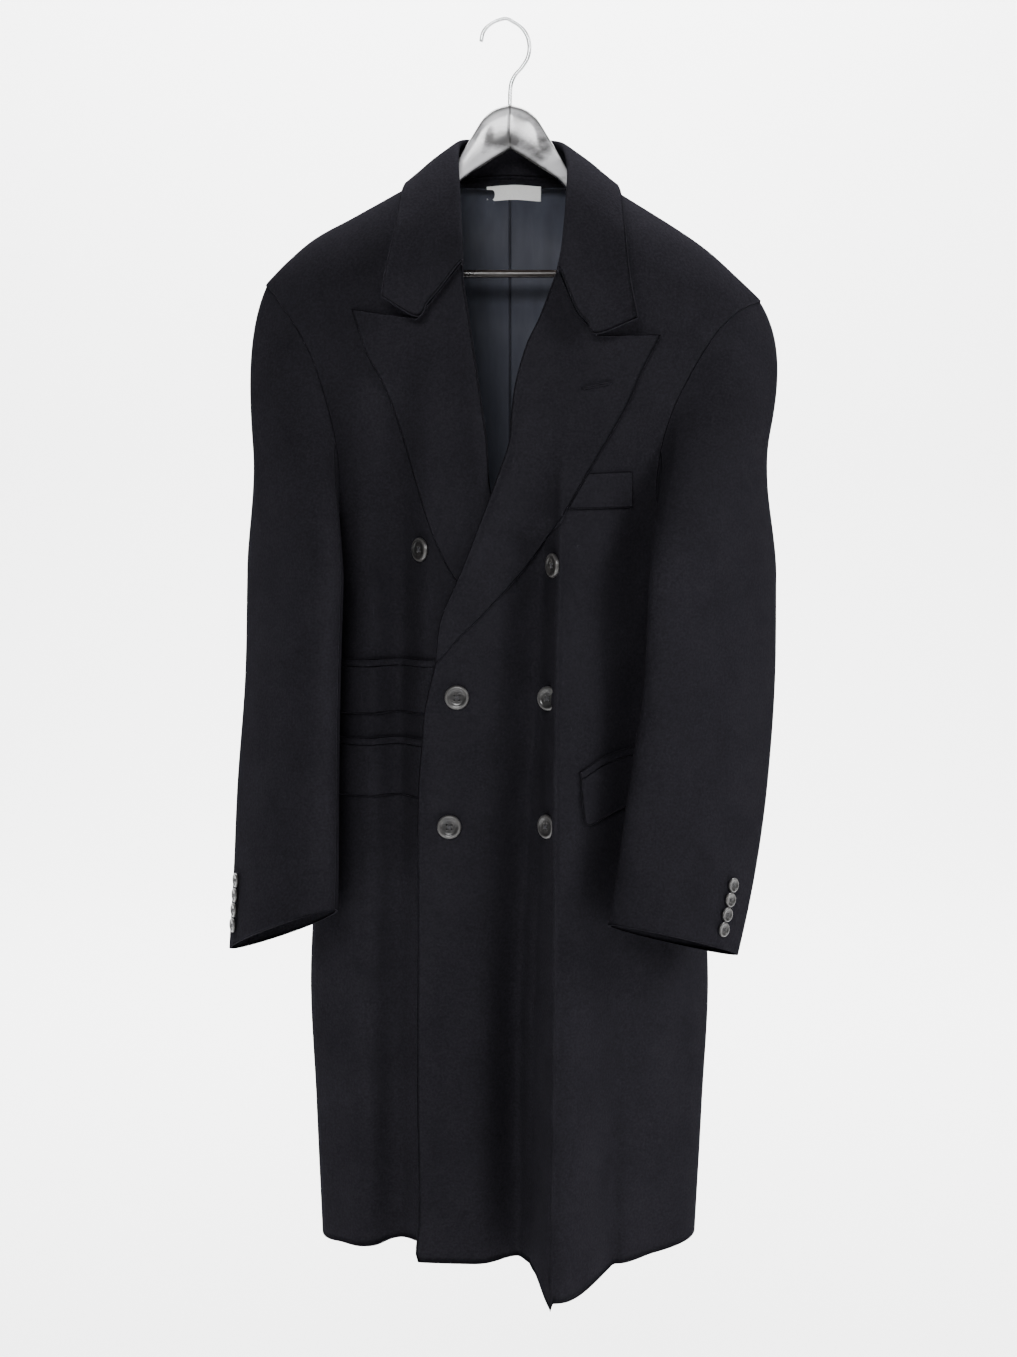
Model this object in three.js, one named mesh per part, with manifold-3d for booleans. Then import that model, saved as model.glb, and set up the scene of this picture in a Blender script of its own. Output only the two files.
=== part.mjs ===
// A long double-breasted overcoat with peak lapels, hanging on a contoured wooden hanger.
// Millimetres, +Z up. The coat's front looks along -Y and +X is the viewer's right.
// The origin is the inside top of the hook. Heights in the tables are measured from a level
// HOOK_DROP above it and x from the coat's middle, and the whole object is moved there at the end.
import * as THREE from "three";
import { mergeVertices } from "three/addons/utils/BufferGeometryUtils.js";
import Module from "manifold-3d";

const wasm = await Module();
wasm.setup();

// Driving dimensions
const HOOK_DROP = 17;
const HOOK_ASIDE = 4; // the hook bears this far to the left of the coat's middle
const WALL = 2.5; // cloth with its interlining
const LAYER = 3.1; // from one cloth layer to the next one that lies on it
const SEAM = 0.15; // half of the gap at a seam
const HEM = -1270;
const UNDERARM = -531;
const ROUND_DEPTH = 72; // how far below the shoulder line the cloth has turned to its full depth
const SIDE_POWER = 2.5; // how square the body is in plan
const LINING_WALL = 1.2;
const BUTTON_RADIUS = 12;
const SLEEVE_BUTTON_RADIUS = 7.2;
const BUTTON_THICK = 4.2;
const SLEEVE_BUTTON_THICK = 2.8;
const BUTTON_GAP = 0.55; // a thread shank holds the button this far off the cloth
const SLEEVE_BUTTON_GAP = 1.2;
const CLOTH_GAP = 0.5; // between the coat's inside and its lining
const LABEL_WALL = 0.8;
const WIRE_RADIUS = 2;
const BAR_RADIUS = 4;
const BAR_HEIGHT = -267;
const BAR_BACK = 12; // the bar's axis lies this far behind the hook's
const BAR_HALF = 182;
const BAR_SIDES = 12;
const SOCKET_GAP = 0.3;

// Body sections: half widths to each side seam, the seam's y, and how far the front and back stand off it
const SECTIONS = [
  { z: -150, left: 247, right: 254, side: 14, front: 62, back: 46 },
  { z: -280, left: 247, right: 254, side: 14, front: 86, back: 60 },
  { z: -400, left: 210, right: 208, side: 14, front: 110, back: 72 },
  { z: -530, left: 181, right: 180, side: 14, front: 122, back: 80 },
  { z: -700, left: 187, right: 185, side: 12, front: 122, back: 86 },
  { z: -950, left: 205, right: 204, side: 8, front: 104, back: 92 },
  { z: -1110, left: 200.5, right: 199, side: 7, front: 94, back: 94 },
  { z: -1270, left: 195, right: 192, side: 6, front: 84, back: 96 },
];

// The shoulder line, from the neck point out to the shoulder tip
const SHOULDER = {
  left: [
    { x: 0, z: -150 },
    { x: 75, z: -167 },
    { x: 105, z: -184 },
    { x: 158, z: -213 },
    { x: 197, z: -234 },
    { x: 225, z: -257 },
    { x: 247, z: -279 },
  ],
  right: [
    { x: 0, z: -150 },
    { x: 75, z: -167 },
    { x: 109, z: -188 },
    { x: 171, z: -226 },
    { x: 201, z: -247 },
    { x: 228, z: -271 },
    { x: 254, z: -295 },
  ],
};

// Folds that run down the cloth: the fold's x at its start and where it has its full form, the
// heights of its start, full form and end, its rise off the body, and its width to either side
const FRONT_FOLDS = [
  { name: "main ridge", x: [55, 40], z: [-470, -1270, -2000], rise: [12, 112], width: [20, 78] },
  { name: "main valley", x: [32, 8], z: [-470, -1000, -2000], rise: [-15, -26], width: [46, 24] },
  { name: "lapel valley", x: [-107, -109], z: [-360, -560, -800], rise: [-8, -24], width: [44, 33] },
  { name: "edge valley", x: [-104, -112], z: [-560, -900, -2000], rise: [-6, -17], width: [34, 24] },
  { name: "left flute", x: [-150, -152], z: [-780, -1200, -2000], rise: [0, 13], width: [26, 30] },
  { name: "right flute", x: [118, 116], z: [-800, -1200, -2000], rise: [0, 12], width: [16, 34] },
];
const BACK_FOLDS = [
  { name: "left flute", x: [-96, -104], z: [-560, -1200, -2000], rise: [0, 24], width: [44, 52] },
  { name: "centre flute", x: [12, 18], z: [-620, -1200, -2000], rise: [0, 17], width: [50, 42] },
  { name: "right flute", x: [112, 120], z: [-600, -1200, -2000], rise: [0, 22], width: [52, 40] },
];
const FOLD_ENTER = 60; // half the height over which a fold comes in
const FOLD_LEAVE = 120; // half the height over which it dies out at its end

// Outlines seen from the front, as x, z pairs
const ARMHOLE = {
  left: {
    front: [
      [-247, -279], [-232, -296], [-214, -322], [-197, -353],
      [-182, -395], [-171, -440], [-167, -485], [-169, -515],
    ],
    back: [
      [-247, -279], [-235, -298], [-219, -328], [-205, -365], [-194, -415], [-186, -465], [-181, -505],
    ],
  },
  right: {
    front: [
      [254, -295], [230, -306], [208, -326], [192, -348],
      [176, -375], [160, -407], [148, -445], [143, -490], [150, -517],
    ],
    back: [
      [254, -295], [240, -312], [222, -340], [207, -375], [195, -420], [186, -468], [180, -506],
    ],
  },
};
const ROLL_LINE = {
  left: [
    [-47, -262], [-46, -281], [-37, -341], [-29, -396], [-23, -440],
    [-21, -478], [-14, -514], [0, -556], [64, -654],
  ],
  right: [
    [47, -270], [29, -318], [17, -343], [6, -381], [2, -411], [0, -437],
    [-8, -462], [-28, -515], [-47, -564], [-67, -612], [-72, -653],
  ],
};
const LAPEL_EDGE = {
  left: [
    [-91, -318], [-156, -308], [-151, -322], [-140, -352], [-126, -377], [-116, -400],
    [-101, -446], [-84, -502], [-70, -540], [-51, -574], [0, -622], [58, -656],
  ],
  right: [
    [84, -335], [148, -333], [131, -364], [112, -405], [74, -469],
    [49, -511], [14, -560], [-26, -604], [-54, -632], [-70, -651],
  ],
};
const GORGE = { left: [[-69, -290]], right: [[64, -310]] };
const NECKLINE = {
  left: [[-54, -240], [-66, -203], [-77, -168]],
  right: [[58, -240], [70, -203], [78, -168]],
};
const TOP_EDGE = [
  [-83, -701], [-86, -734], [-90, -789], [-91, -888], [-93, -1090], [-92, -1225], [-95, -1262],
];
const UNDER_HEM = [[-205, -1264], [-160, -1258], [-100, -1250], [78, -1250]];
const TOP_HEM = [[-93, HEM - 20], [118, HEM - 20], [118, -1271], [150, -1267], [192, -1262]];
const BACK_HEM = {
  left: [[-110, -1271], [-196, -1264]],
  right: [[110, -1271], [193, -1262]],
};
const BACK_NECK = [
  [-77, -168], [-66, -171], [-52, -172], [-36, -170], [0, -167],
  [36, -170], [52, -172], [66, -171], [77, -168],
];

// Patches that lie on a panel: its outline, and how many cloth layers are below it
const PATCHES = [
  {
    node: "ticket_flap_left",
    on: 1,
    at: [[-174, -662], [-66, -658], [-66, -700], [-72, -704], [-166, -708], [-173, -703]],
  },
  { node: "ticket_jet_left", on: 1, at: [[-174, -655], [-66, -651], [-66, -657], [-174, -661]] },
  {
    node: "hip_flap_left",
    on: 1,
    at: [[-176, -740], [-62, -737], [-62, -782], [-68, -787], [-168, -790], [-176, -784]],
  },
  { node: "hip_jet_left", on: 1, at: [[-176, -733], [-62, -730], [-62, -736], [-176, -739]] },
  {
    node: "hip_flap_right",
    on: 3,
    at: [[69, -765], [96, -751], [150, -742], [150, -788], [104, -801], [86, -810], [76, -807], [73, -800]],
  },
  {
    node: "hip_jet_right",
    on: 3,
    at: [[68, -758], [95, -744], [150, -736], [150, -742], [96, -750], [69, -764]],
  },
  { node: "breast_welt", on: 3, at: [[76, -469], [119, -467], [119, -501], [57, -502]] },
];

// Front buttons: place, how many cloth layers are below, how far each is turned to the left, and
// how deep the flat facets of a fold lie there inside its true curve
const BUTTONS = [
  { x: -87, z: -543, on: 0, turn: 52, facet: 0 },
  { x: 43, z: -557, on: 2, turn: 62, facet: 0.7 },
  { x: -52, z: -687, on: 2, turn: 4, facet: 0 },
  { x: 38, z: -686, on: 2, turn: 34, facet: 1.4 },
  { x: -60, z: -816, on: 2, turn: 4, facet: 0 },
  { x: 37, z: -811, on: 2, turn: 50, facet: 0.9 },
];

// Sleeve sections: centre, half width and half depth, how far the depth axis turns inwards,
// and how much of the cuff's slant has come in. The head swells out below the shoulder's tip.
const SLEEVES = {
  left: {
    side: -1,
    slant: { x: 0.3, y: -0.28 },
    swell: 60,
    rows: [
      { z: -575, x: -217.5, y: -42, wide: 34, deep: 99, turn: 27, slanted: 0 },
      { z: -680, x: -220.5, y: -46, wide: 35, deep: 92.5, turn: 28, slanted: 0 },
      { z: -780, x: -225, y: -56, wide: 37, deep: 90, turn: 31, slanted: 0.2 },
      { z: -860, x: -226, y: -74, wide: 40, deep: 81, turn: 35, slanted: 0.6 },
      { z: -923, x: -227, y: -94, wide: 44, deep: 73, turn: 39, slanted: 1 },
    ],
  },
  right: {
    side: 1,
    slant: { x: -0.2, y: -0.28 },
    swell: 100,
    rows: [
      { z: -575, x: 203.5, y: -70, wide: 34, deep: 104, turn: 38, slanted: 0 },
      { z: -680, x: 200.8, y: -68, wide: 33, deep: 103, turn: 41, slanted: 0 },
      { z: -780, x: 188.7, y: -90, wide: 34, deep: 95.5, turn: 47, slanted: 0.2 },
      { z: -860, x: 175, y: -118, wide: 36, deep: 82.5, turn: 54, slanted: 0.6 },
      { z: -923, x: 160, y: -146, wide: 40, deep: 72, turn: 60, slanted: 1 },
    ],
  },
};
const SLEEVE_AROUND = 26;
const SLEEVE_HEAD_ROWS = 8;
const SLEEVE_ARM_ROWS = 8;
const CLEAR_OF_BODY = 5;
const CUFF_BUTTON = { first: -867, step: -13.2, count: 4 };

// Collar stations from one front end round the neck to the other: the fold, the leaf's outer edge
// and the bottom of the stand
const COLLAR = [
  { fold: [-47, -92, -263], edge: [-125, -102, -297], stand: [-50, -84, -257] },
  { fold: [-48, -82, -236], edge: [-121, -90, -270], stand: [-55, -70, -236] },
  { fold: [-51, -52, -186], edge: [-111, -62, -220], stand: [-61, -38, -205] },
  { fold: [-53, -18, -152], edge: [-106, -24, -184], stand: [-67, -10, -177] },
  { fold: [-49, 20, -134], edge: [-98, 32, -175], stand: [-66, 25, -168.5] },
  { fold: [-27, 42, -131], edge: [-58, 60, -180], stand: [-37, 41.5, -166.5] },
  { fold: [0, 47, -131], edge: [0, 70, -186], stand: [0, 45, -164.7] },
  { fold: [27, 42, -131], edge: [58, 60, -180], stand: [37, 41.5, -166.5] },
  { fold: [51, 20, -136], edge: [101, 32, -177], stand: [66, 25, -168.5] },
  { fold: [58, -18, -156], edge: [109, -24, -186], stand: [69, -10, -179] },
  { fold: [57, -55, -190], edge: [112, -64, -223], stand: [58.5, -36, -203] },
  { fold: [52, -84, -242], edge: [117, -92, -279], stand: [56, -70, -240] },
  { fold: [47, -95, -270], edge: [124, -106, -318], stand: [49, -85, -262] },
];
const COLLAR_ALONG = 36;

// Points across the leaf, as a share of the way from fold to edge: their bulge, and at each front
// end the share and drop that take them to the seam with the lapel, with the notch's corner last
const LEAF = [
  { share: 0.14, bulge: 4.2, left: { share: 0.28, drop: 17 }, right: { share: 0.22, drop: 28 } },
  { share: 0.4, bulge: 5, left: { share: 0.42, drop: 25.5 }, right: { share: 0.36, drop: 34.5 } },
  { share: 0.7, bulge: 2.5, left: { share: 0.56, drop: 34 }, right: { share: 0.48, drop: 40 } },
];
const NOTCH_REACH = 0.17; // how far along the collar its ends' drop is felt
const NOTCH_SLOPE = 0.12; // how far the chest comes forward for each unit of drop

// The hanger, from its centre out to one arm's end
const HANGER = [
  { x: 0, top: -100, bottom: -144, y: 0, half: 9 },
  { x: 16, top: -105, bottom: -153, y: 0, half: 9 },
  { x: 27, top: -114, bottom: -160, y: 0, half: 9.5 },
  { x: 37, top: -129, bottom: -166, y: 1, half: 10 },
  { x: 51, top: -152, bottom: -176, y: 2, half: 9.5 },
  { x: 64, top: -173, bottom: -191, y: 4, half: 9.5 },
  { x: 80, top: -182, bottom: -202, y: 7, half: 11 },
  { x: 120, top: -203, bottom: -226, y: 11, half: 14 },
  { x: 165, top: -231, bottom: -257, y: 13, half: 17 },
  { x: 196, top: -254, bottom: -290, y: 13, half: 19 },
  { x: 222, top: -278, bottom: -314, y: 13, half: 17 },
];
const HANGER_AROUND = 10;

// The hook's wire, from the stem up and round to its tip
const HOOK = [
  [0, -124], [0, -96], [1, -80], [5, -71], [12, -63], [17.5, -54], [19.5, -44], [17.5, -33],
  [11, -23.5], [2, -17.5], [-4, -15], [-13, -17], [-21, -21.5], [-27, -29], [-29, -38],
];

// Materials
function material(color, roughness, metalness = 0) {
  return new THREE.MeshStandardMaterial({ color, roughness, metalness });
}
const CLOTH = material(0x232328, 0.95);
const LINING = material(0x3a3c46, 0.45);
const LABEL = material(0xe6e5e0, 0.7);
const HORN = material(0x3b3a3a, 0.35);
const WOOD = material(0x3a3636, 0.3);
const STEEL = material(0xb4b6ba, 0.3, 1);

// Value of a column at a place between a table's rows, with soft corners between them
function along(rows, key, at, column) {
  const rising = rows[rows.length - 1][key] > rows[0][key];
  let i = rows.findIndex((row) => (rising ? row[key] >= at : row[key] <= at));
  if (i < 0) i = rows.length - 1;
  if (i === 0) return rows[0][column];
  const [a, b] = [rows[i - 1], rows[i]];
  const before = rows[Math.max(i - 2, 0)];
  const after = rows[Math.min(i + 1, rows.length - 1)];
  const span = b[key] - a[key];
  const t = THREE.MathUtils.clamp((at - a[key]) / span, 0, 1);
  const slopeA = ((b[column] - before[column]) / (b[key] - before[key])) * span;
  const slopeB = ((after[column] - a[column]) / (after[key] - a[key])) * span;
  const [t2, t3] = [t * t, t * t * t];
  return (
    (2 * t3 - 3 * t2 + 1) * a[column] + (t3 - 2 * t2 + t) * slopeA +
    (3 * t2 - 2 * t3) * b[column] + (t3 - t2) * slopeB
  );
}

function shoulderHeight(x) {
  return along(x < 0 ? SHOULDER.left : SHOULDER.right, "x", Math.abs(x), "z");
}

function halfWidth(level, x) {
  return along(SECTIONS, "z", level, x < 0 ? "left" : "right");
}

// A fold's rise at a place: a bell across its line, growing down its length
function foldRise(fold, x, z) {
  const { lerp, clamp, smoothstep } = THREE.MathUtils;
  const [start, full, end] = fold.z;
  const down = clamp((z - start) / (full - start), 0, 1);
  const off = x - lerp(fold.x[0], fold.x[1], down);
  const t = Math.abs(off) / (off < 0 ? fold.width[0] : fold.width[1]);
  if (t >= 1) return 0;
  const enter = smoothstep(start - z, -FOLD_ENTER, FOLD_ENTER);
  const leave = smoothstep(z - end, -FOLD_LEAVE, FOLD_LEAVE);
  const rise = lerp(fold.rise[0], fold.rise[1], down * (0.3 + 0.7 * down));
  return rise * enter * leave * 0.5 * (1 + Math.cos(Math.PI * t));
}

// A body row is level at the hem and follows the shoulder line at the top. Its level is its own
// height at the centre, and share says how much of the shoulder's slope is left in it.
function levelOf(x, z) {
  const top = shoulderHeight(x);
  return HEM + ((z - HEM) / (top - HEM)) * (shoulderHeight(0) - HEM);
}

function heightOf(x, level) {
  return HEM + ((level - HEM) / (shoulderHeight(0) - HEM)) * (shoulderHeight(x) - HEM);
}

// Depth of the front (face = -1) or of the back (face = 1) at x, z
function depth(face, x, z) {
  const level = levelOf(x, z);
  const round = Math.min(Math.abs(x) / halfWidth(level, x), 1);
  const plan = Math.pow(1 - Math.pow(round, SIDE_POWER), 1 / SIDE_POWER);
  const below = THREE.MathUtils.clamp((shoulderHeight(x) - z) / ROUND_DEPTH, 0, 1);
  const turned = Math.sqrt(1 - (1 - below) ** 2);
  const stand = along(SECTIONS, "z", level, face < 0 ? "front" : "back");
  const folds = face < 0 ? FRONT_FOLDS : BACK_FOLDS;
  const rise = folds.reduce((sum, fold) => sum + foldRise(fold, x, z), 0);
  return along(SECTIONS, "z", level, "side") + face * (stand * plan * turned + rise * Math.sqrt(plan));
}

// How fully the fronts overlap at a place. Beyond the under front's hidden edge, and above the
// lapels, the top front lies on the body itself.
const OVERLAP_SIDE = { from: 84, to: 128 };
const OVERLAP_TOP = { from: 380, to: 470 };
function layerFade(x, z) {
  const across = 1 - THREE.MathUtils.smoothstep(x, OVERLAP_SIDE.from, OVERLAP_SIDE.to);
  return across * THREE.MathUtils.smoothstep(-z, OVERLAP_TOP.from, OVERLAP_TOP.to);
}

// Grid columns gather at the side seams and stand closer over the lapel's valley and the main fold
const BACK_COLUMNS = 18;
const FRONT_SPANS = [
  { count: 5, ease: (t) => 1 - Math.cos((Math.PI / 2) * t) },
  { count: 5, ease: (t) => t },
  { count: 4, ease: (t) => t },
  { count: 3, ease: (t) => t },
  { count: 4, ease: (t) => t },
  { count: 10, ease: (t) => Math.sin((Math.PI / 2) * t) },
];
const VALLEY_SIDE = -140;
const VALLEY_EDGE = -70;
const BEFORE_RIDGE = 46;

function columns(level, face) {
  if (face > 0) {
    const half = (k) => halfWidth(level, k - BACK_COLUMNS / 2);
    const turn = (k) => Math.PI * (k / BACK_COLUMNS - 0.5);
    return [...Array(BACK_COLUMNS + 1).keys()].map((k) => half(k) * Math.sin(turn(k)));
  }
  const fold = FRONT_FOLDS[0];
  const down = THREE.MathUtils.clamp((level - fold.z[0]) / (fold.z[1] - fold.z[0]), 0, 1);
  const ridge = THREE.MathUtils.lerp(fold.x[0], fold.x[1], down);
  const foot = ridge - fold.width[0];
  const [left, right] = [-halfWidth(level, -1), halfWidth(level, 1)];
  const guides = [left, VALLEY_SIDE, VALLEY_EDGE, ridge - BEFORE_RIDGE, foot, ridge, right];
  const out = FRONT_SPANS.flatMap(({ count, ease }, k) =>
    [...Array(count).keys()].map((i) => THREE.MathUtils.lerp(guides[k], guides[k + 1], ease(i / count))),
  );
  return [...out, right];
}
const ROW_LEVELS = [
  -150, -152, -158, -169, -186, -212, -246, -286, -330, -376, -424, -474, -526,
  -580, -640, -710, -790, -880, -980, -1080, -1180, HEM,
];

// The body's inner face as a grid of points, and its outward directions
function bodyGrid(face) {
  const points = ROW_LEVELS.map((level) =>
    columns(level, face).map((x) => {
      const z = heightOf(x, level);
      return new THREE.Vector3(x, depth(face, x, z) + face * SEAM, z);
    }),
  );
  return { points, normals: gridNormals(points, face) };
}

// Directions square to a grid, each from the neighbours on either side
function gridNormals(points, face) {
  const last = [points.length - 1, points[0].length - 1];
  return points.map((row, i) =>
    row.map((_, j) => {
      const down = points[Math.min(i + 1, last[0])][j].clone().sub(points[Math.max(i - 1, 0)][j]);
      const across = row[Math.min(j + 1, last[1])].clone().sub(row[Math.max(j - 1, 0)]);
      return down.cross(across).multiplyScalar(-face).normalize();
    }),
  );
}

// A closed wall between two grids of points that have the same rows and columns. Where wrap is
// set, the last column joins the first.
function wall(outer, inner, wrap = false) {
  const [rows, cols] = [outer.length, outer[0].length];
  const position = [];
  [outer, inner].forEach((grid) => grid.forEach((row) => row.forEach((p) => position.push(p.x, p.y, p.z))));
  const at = (layer, i, j) => layer * rows * cols + i * cols + (j % cols);
  const index = [];
  const quad = (a, b, c, d) => index.push(a, b, c, a, c, d);
  const spans = wrap ? cols : cols - 1;
  for (let i = 0; i < rows - 1; i++) {
    for (let j = 0; j < spans; j++) {
      quad(at(0, i, j), at(0, i + 1, j), at(0, i + 1, j + 1), at(0, i, j + 1));
      quad(at(1, i, j), at(1, i, j + 1), at(1, i + 1, j + 1), at(1, i + 1, j));
    }
  }
  for (let j = 0; j < spans; j++) {
    quad(at(0, 0, j), at(0, 0, j + 1), at(1, 0, j + 1), at(1, 0, j));
    quad(at(0, rows - 1, j + 1), at(0, rows - 1, j), at(1, rows - 1, j), at(1, rows - 1, j + 1));
  }
  if (!wrap) {
    for (let i = 0; i < rows - 1; i++) {
      quad(at(0, i + 1, 0), at(0, i, 0), at(1, i, 0), at(1, i + 1, 0));
      quad(at(0, i, cols - 1), at(0, i + 1, cols - 1), at(1, i + 1, cols - 1), at(1, i, cols - 1));
    }
  }
  return facingOut(position, index);
}

// A geometry from points and triangles, turned round if its faces point in
function facingOut(position, index) {
  let volume = 0;
  for (let k = 0; k < index.length; k += 3) {
    const [a, b, c] = [0, 1, 2].map((n) => new THREE.Vector3().fromArray(position, 3 * index[k + n]));
    volume += a.dot(b.cross(c));
  }
  const turned = volume < 0 ? index.map((_, k) => index[k - (k % 3) + 2 - (k % 3)]) : index;
  const geometry = new THREE.BufferGeometry();
  geometry.setAttribute("position", new THREE.Float32BufferAttribute(position, 3));
  geometry.setIndex(turned);
  return geometry;
}

// Conversions to and from solids that can be cut and joined
function solid(geometry) {
  const bare = geometry.clone();
  bare.deleteAttribute("normal");
  bare.deleteAttribute("uv");
  const merged = mergeVertices(bare, 1e-4);
  const vertProperties = new Float32Array(merged.attributes.position.array);
  const triVerts = new Uint32Array(merged.index.array);
  return new wasm.Manifold(new wasm.Mesh({ numProp: 3, vertProperties, triVerts }));
}

function geometryOf(made) {
  const mesh = made.getMesh();
  const geometry = new THREE.BufferGeometry();
  geometry.setAttribute("position", new THREE.BufferAttribute(new Float32Array(mesh.vertProperties), 3));
  geometry.setIndex(new THREE.BufferAttribute(new Uint32Array(mesh.triVerts), 1));
  return geometry;
}

// A prism along y with an outline given as x, z pairs
const PRISM_DEPTH = 700;
function prism(outline) {
  const shape = new THREE.Shape(outline.map(([x, z]) => new THREE.Vector2(x, z)));
  const geometry = new THREE.ExtrudeGeometry(shape, { depth: PRISM_DEPTH, bevelEnabled: false });
  geometry.rotateX(Math.PI / 2);
  geometry.translate(0, PRISM_DEPTH / 2, 0);
  return solid(geometry);
}

// How far a layer's inner face lies off the body: the first two lie on each other everywhere, and
// the next two lie over them where the fronts overlap
function carried(count, x, z) {
  return count > 1 ? layerFade(x, z) * 2 * LAYER + (count - 2) * LAYER : count * LAYER;
}

// One cloth layer of the body: its wall between two distances from the inner face
function bodyLayer(grid, count, thickness = WALL, sunk = 0) {
  const out = (extra) =>
    grid.points.map((row, i) =>
      row.map((p, j) => {
        return p.clone().addScaledVector(grid.normals[i][j], carried(count, p.x, p.z) - sunk + extra);
      }),
    );
  return solid(wall(out(thickness), out(0)));
}

// Cloth outlines on the body
const FAR = 290;
function armholeCut(side, face) {
  const points = ARMHOLE[side][face];
  const far = side === "left" ? -FAR : FAR;
  const corner = points[points.length - 1][0] + Math.sign(far) * 6;
  return [[points[0][0], 0], ...points, [corner, UNDERARM], [far, UNDERARM]];
}

function underFrontOutline() {
  return [
    ...NECKLINE.left.slice().reverse().map(([x, z]) => [x, z]),
    ...ROLL_LINE.left,
    [78, -665],
    ...UNDER_HEM.slice().reverse(),
    [-FAR, -1264],
    ...armholeCut("left", "front").reverse(),
    [-77, 0],
  ].reverse();
}

function topFrontOutline() {
  return [
    [77, 0],
    ...armholeCut("right", "front"),
    [FAR, TOP_HEM.at(-1)[1]],
    ...TOP_HEM.slice().reverse(),
    ...TOP_EDGE.slice().reverse(),
    ...ROLL_LINE.right.slice().reverse(),
    ...NECKLINE.right,
  ];
}

function lapelOutline(side) {
  return [...ROLL_LINE[side].slice().reverse(), ...GORGE[side], ...LAPEL_EDGE[side]];
}

function backOutline(side) {
  const sign = side === "left" ? -1 : 1;
  const neck = BACK_NECK.filter(([x]) => x * sign > 0).sort((a, b) => (a[0] - b[0]) * sign);
  const hem = BACK_HEM[side].slice().reverse();
  return [
    [sign * SEAM, BACK_NECK[4][1]],
    ...neck,
    [sign * BACK_NECK.at(-1)[0], 0],
    ...armholeCut(side, "back"),
    [sign * FAR, hem[0][1]],
    ...hem,
    [sign * 110, HEM - 20],
    [sign * SEAM, HEM - 20],
  ];
}

// Sleeves
function onCurve(points, t) {
  const lengths = points.slice(1).map((p, i) => Math.hypot(p[0] - points[i][0], p[1] - points[i][1]));
  let left = t * lengths.reduce((a, b) => a + b, 0);
  for (let i = 0; i < lengths.length; i++) {
    if (left <= lengths[i] || i === lengths.length - 1) {
      const share = Math.min(left / lengths[i], 1);
      return [0, 1].map((k) => points[i][k] + (points[i + 1][k] - points[i][k]) * share);
    }
    left -= lengths[i];
  }
}

// The armhole's edge at an angle: 0 is the shoulder tip, a half turn is the underarm
const UNDERARM_OUT = 18;
const UNDERARM_RISE = 10;
function armholeLoop(side, angle) {
  const sign = side === "left" ? -1 : 1;
  const turn = angle / Math.PI;
  const face = turn <= 1 ? "front" : "back";
  const bottom = [ARMHOLE[side].back.at(-1)[0] + sign * UNDERARM_OUT, UNDERARM + UNDERARM_RISE];
  const points = [...ARMHOLE[side][face], bottom];
  const [x, z] = onCurve(points, turn <= 1 ? turn : 2 - turn);
  const surface = depth(face === "front" ? -1 : 1, x, z);
  return new THREE.Vector3(x + sign * 0.7, surface - (face === "front" ? WALL / 2 : -WALL / 2), z);
}

function sleeveRow(side, z) {
  const rows = SLEEVES[side].rows;
  const value = (column) => along(rows, "z", z, column);
  const columns = ["x", "y", "wide", "deep", "turn", "slanted"];
  return { z, ...Object.fromEntries(columns.map((column) => [column, value(column)])) };
}

function sleevePoint(side, row, angle) {
  const { side: sign, slant } = SLEEVES[side];
  const turn = THREE.MathUtils.degToRad(row.turn);
  const along = row.deep * Math.sin(angle);
  const out = row.wide * Math.cos(angle);
  const x = row.x + sign * (-along * Math.sin(turn) + out * Math.cos(turn));
  const y = row.y - along * Math.cos(turn) - out * Math.sin(turn);
  const lift = row.slanted * (slant.x * (x - row.x) + slant.y * (y - row.y));
  return clearOfBody(side, new THREE.Vector3(x, y, row.z + lift));
}

// A sleeve point that would touch the body is moved in front of it
function clearOfBody(side, p) {
  if (p.z > UNDERARM - 2) return p;
  const half = halfWidth(p.z, p.x);
  if (Math.abs(p.x) >= half + CLEAR_OF_BODY) return p;
  const layers = WALL + LAYER + (side === "right" ? 2 * LAYER * layerFade(p.x, p.z) : 0);
  const x = Math.sign(p.x) * Math.min(Math.abs(p.x), half - 0.5);
  const front = depth(-1, x, p.z) - layers - CLEAR_OF_BODY;
  if (p.y > front) p.y = front;
  return p;
}

function sleeveGrid(side) {
  const sign = SLEEVES[side].side;
  const rows = SLEEVES[side].rows;
  const angles = [...Array(SLEEVE_AROUND).keys()].map((k) => (2 * Math.PI * k) / SLEEVE_AROUND);
  const grid = [];
  const first = sleeveRow(side, rows[0].z);
  for (let i = 0; i < SLEEVE_HEAD_ROWS; i++) {
    const t = (i / SLEEVE_HEAD_ROWS) ** 1.25;
    grid.push(angles.map((angle) => headPoint(side, sign, first, angle, t)));
  }
  for (let i = 0; i <= SLEEVE_ARM_ROWS; i++) {
    const z = THREE.MathUtils.lerp(rows[0].z, rows.at(-1).z, i / SLEEVE_ARM_ROWS);
    grid.push(angles.map((angle) => sleevePoint(side, sleeveRow(side, z), angle)));
  }
  return grid;
}

// The sleeve head: from the armhole out over the shoulder's end and down to the first full section
function headPoint(side, sign, first, angle, t) {
  const start = armholeLoop(side, angle);
  const end = sleevePoint(side, first, angle);
  const reach = start.distanceTo(end);
  const top = 0.5 + 0.5 * Math.cos(angle);
  const ahead = Math.sin(angle);
  const out = 36 + 12 * top - 32 * Math.max(ahead, 0) + SLEEVES[side].swell * top ** 2;
  const leave = new THREE.Vector3(sign * out, -30 * ahead, -0.75 * reach * top);
  const arrive = new THREE.Vector3(0, 0, -0.9 * reach);
  const [t2, t3] = [t * t, t * t * t];
  const p = start.clone().multiplyScalar(2 * t3 - 3 * t2 + 1);
  p.addScaledVector(leave, t3 - 2 * t2 + t);
  p.addScaledVector(end, 3 * t2 - 2 * t3);
  p.addScaledVector(arrive, t3 - t2);
  return clearOfBody(side, p);
}

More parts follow.
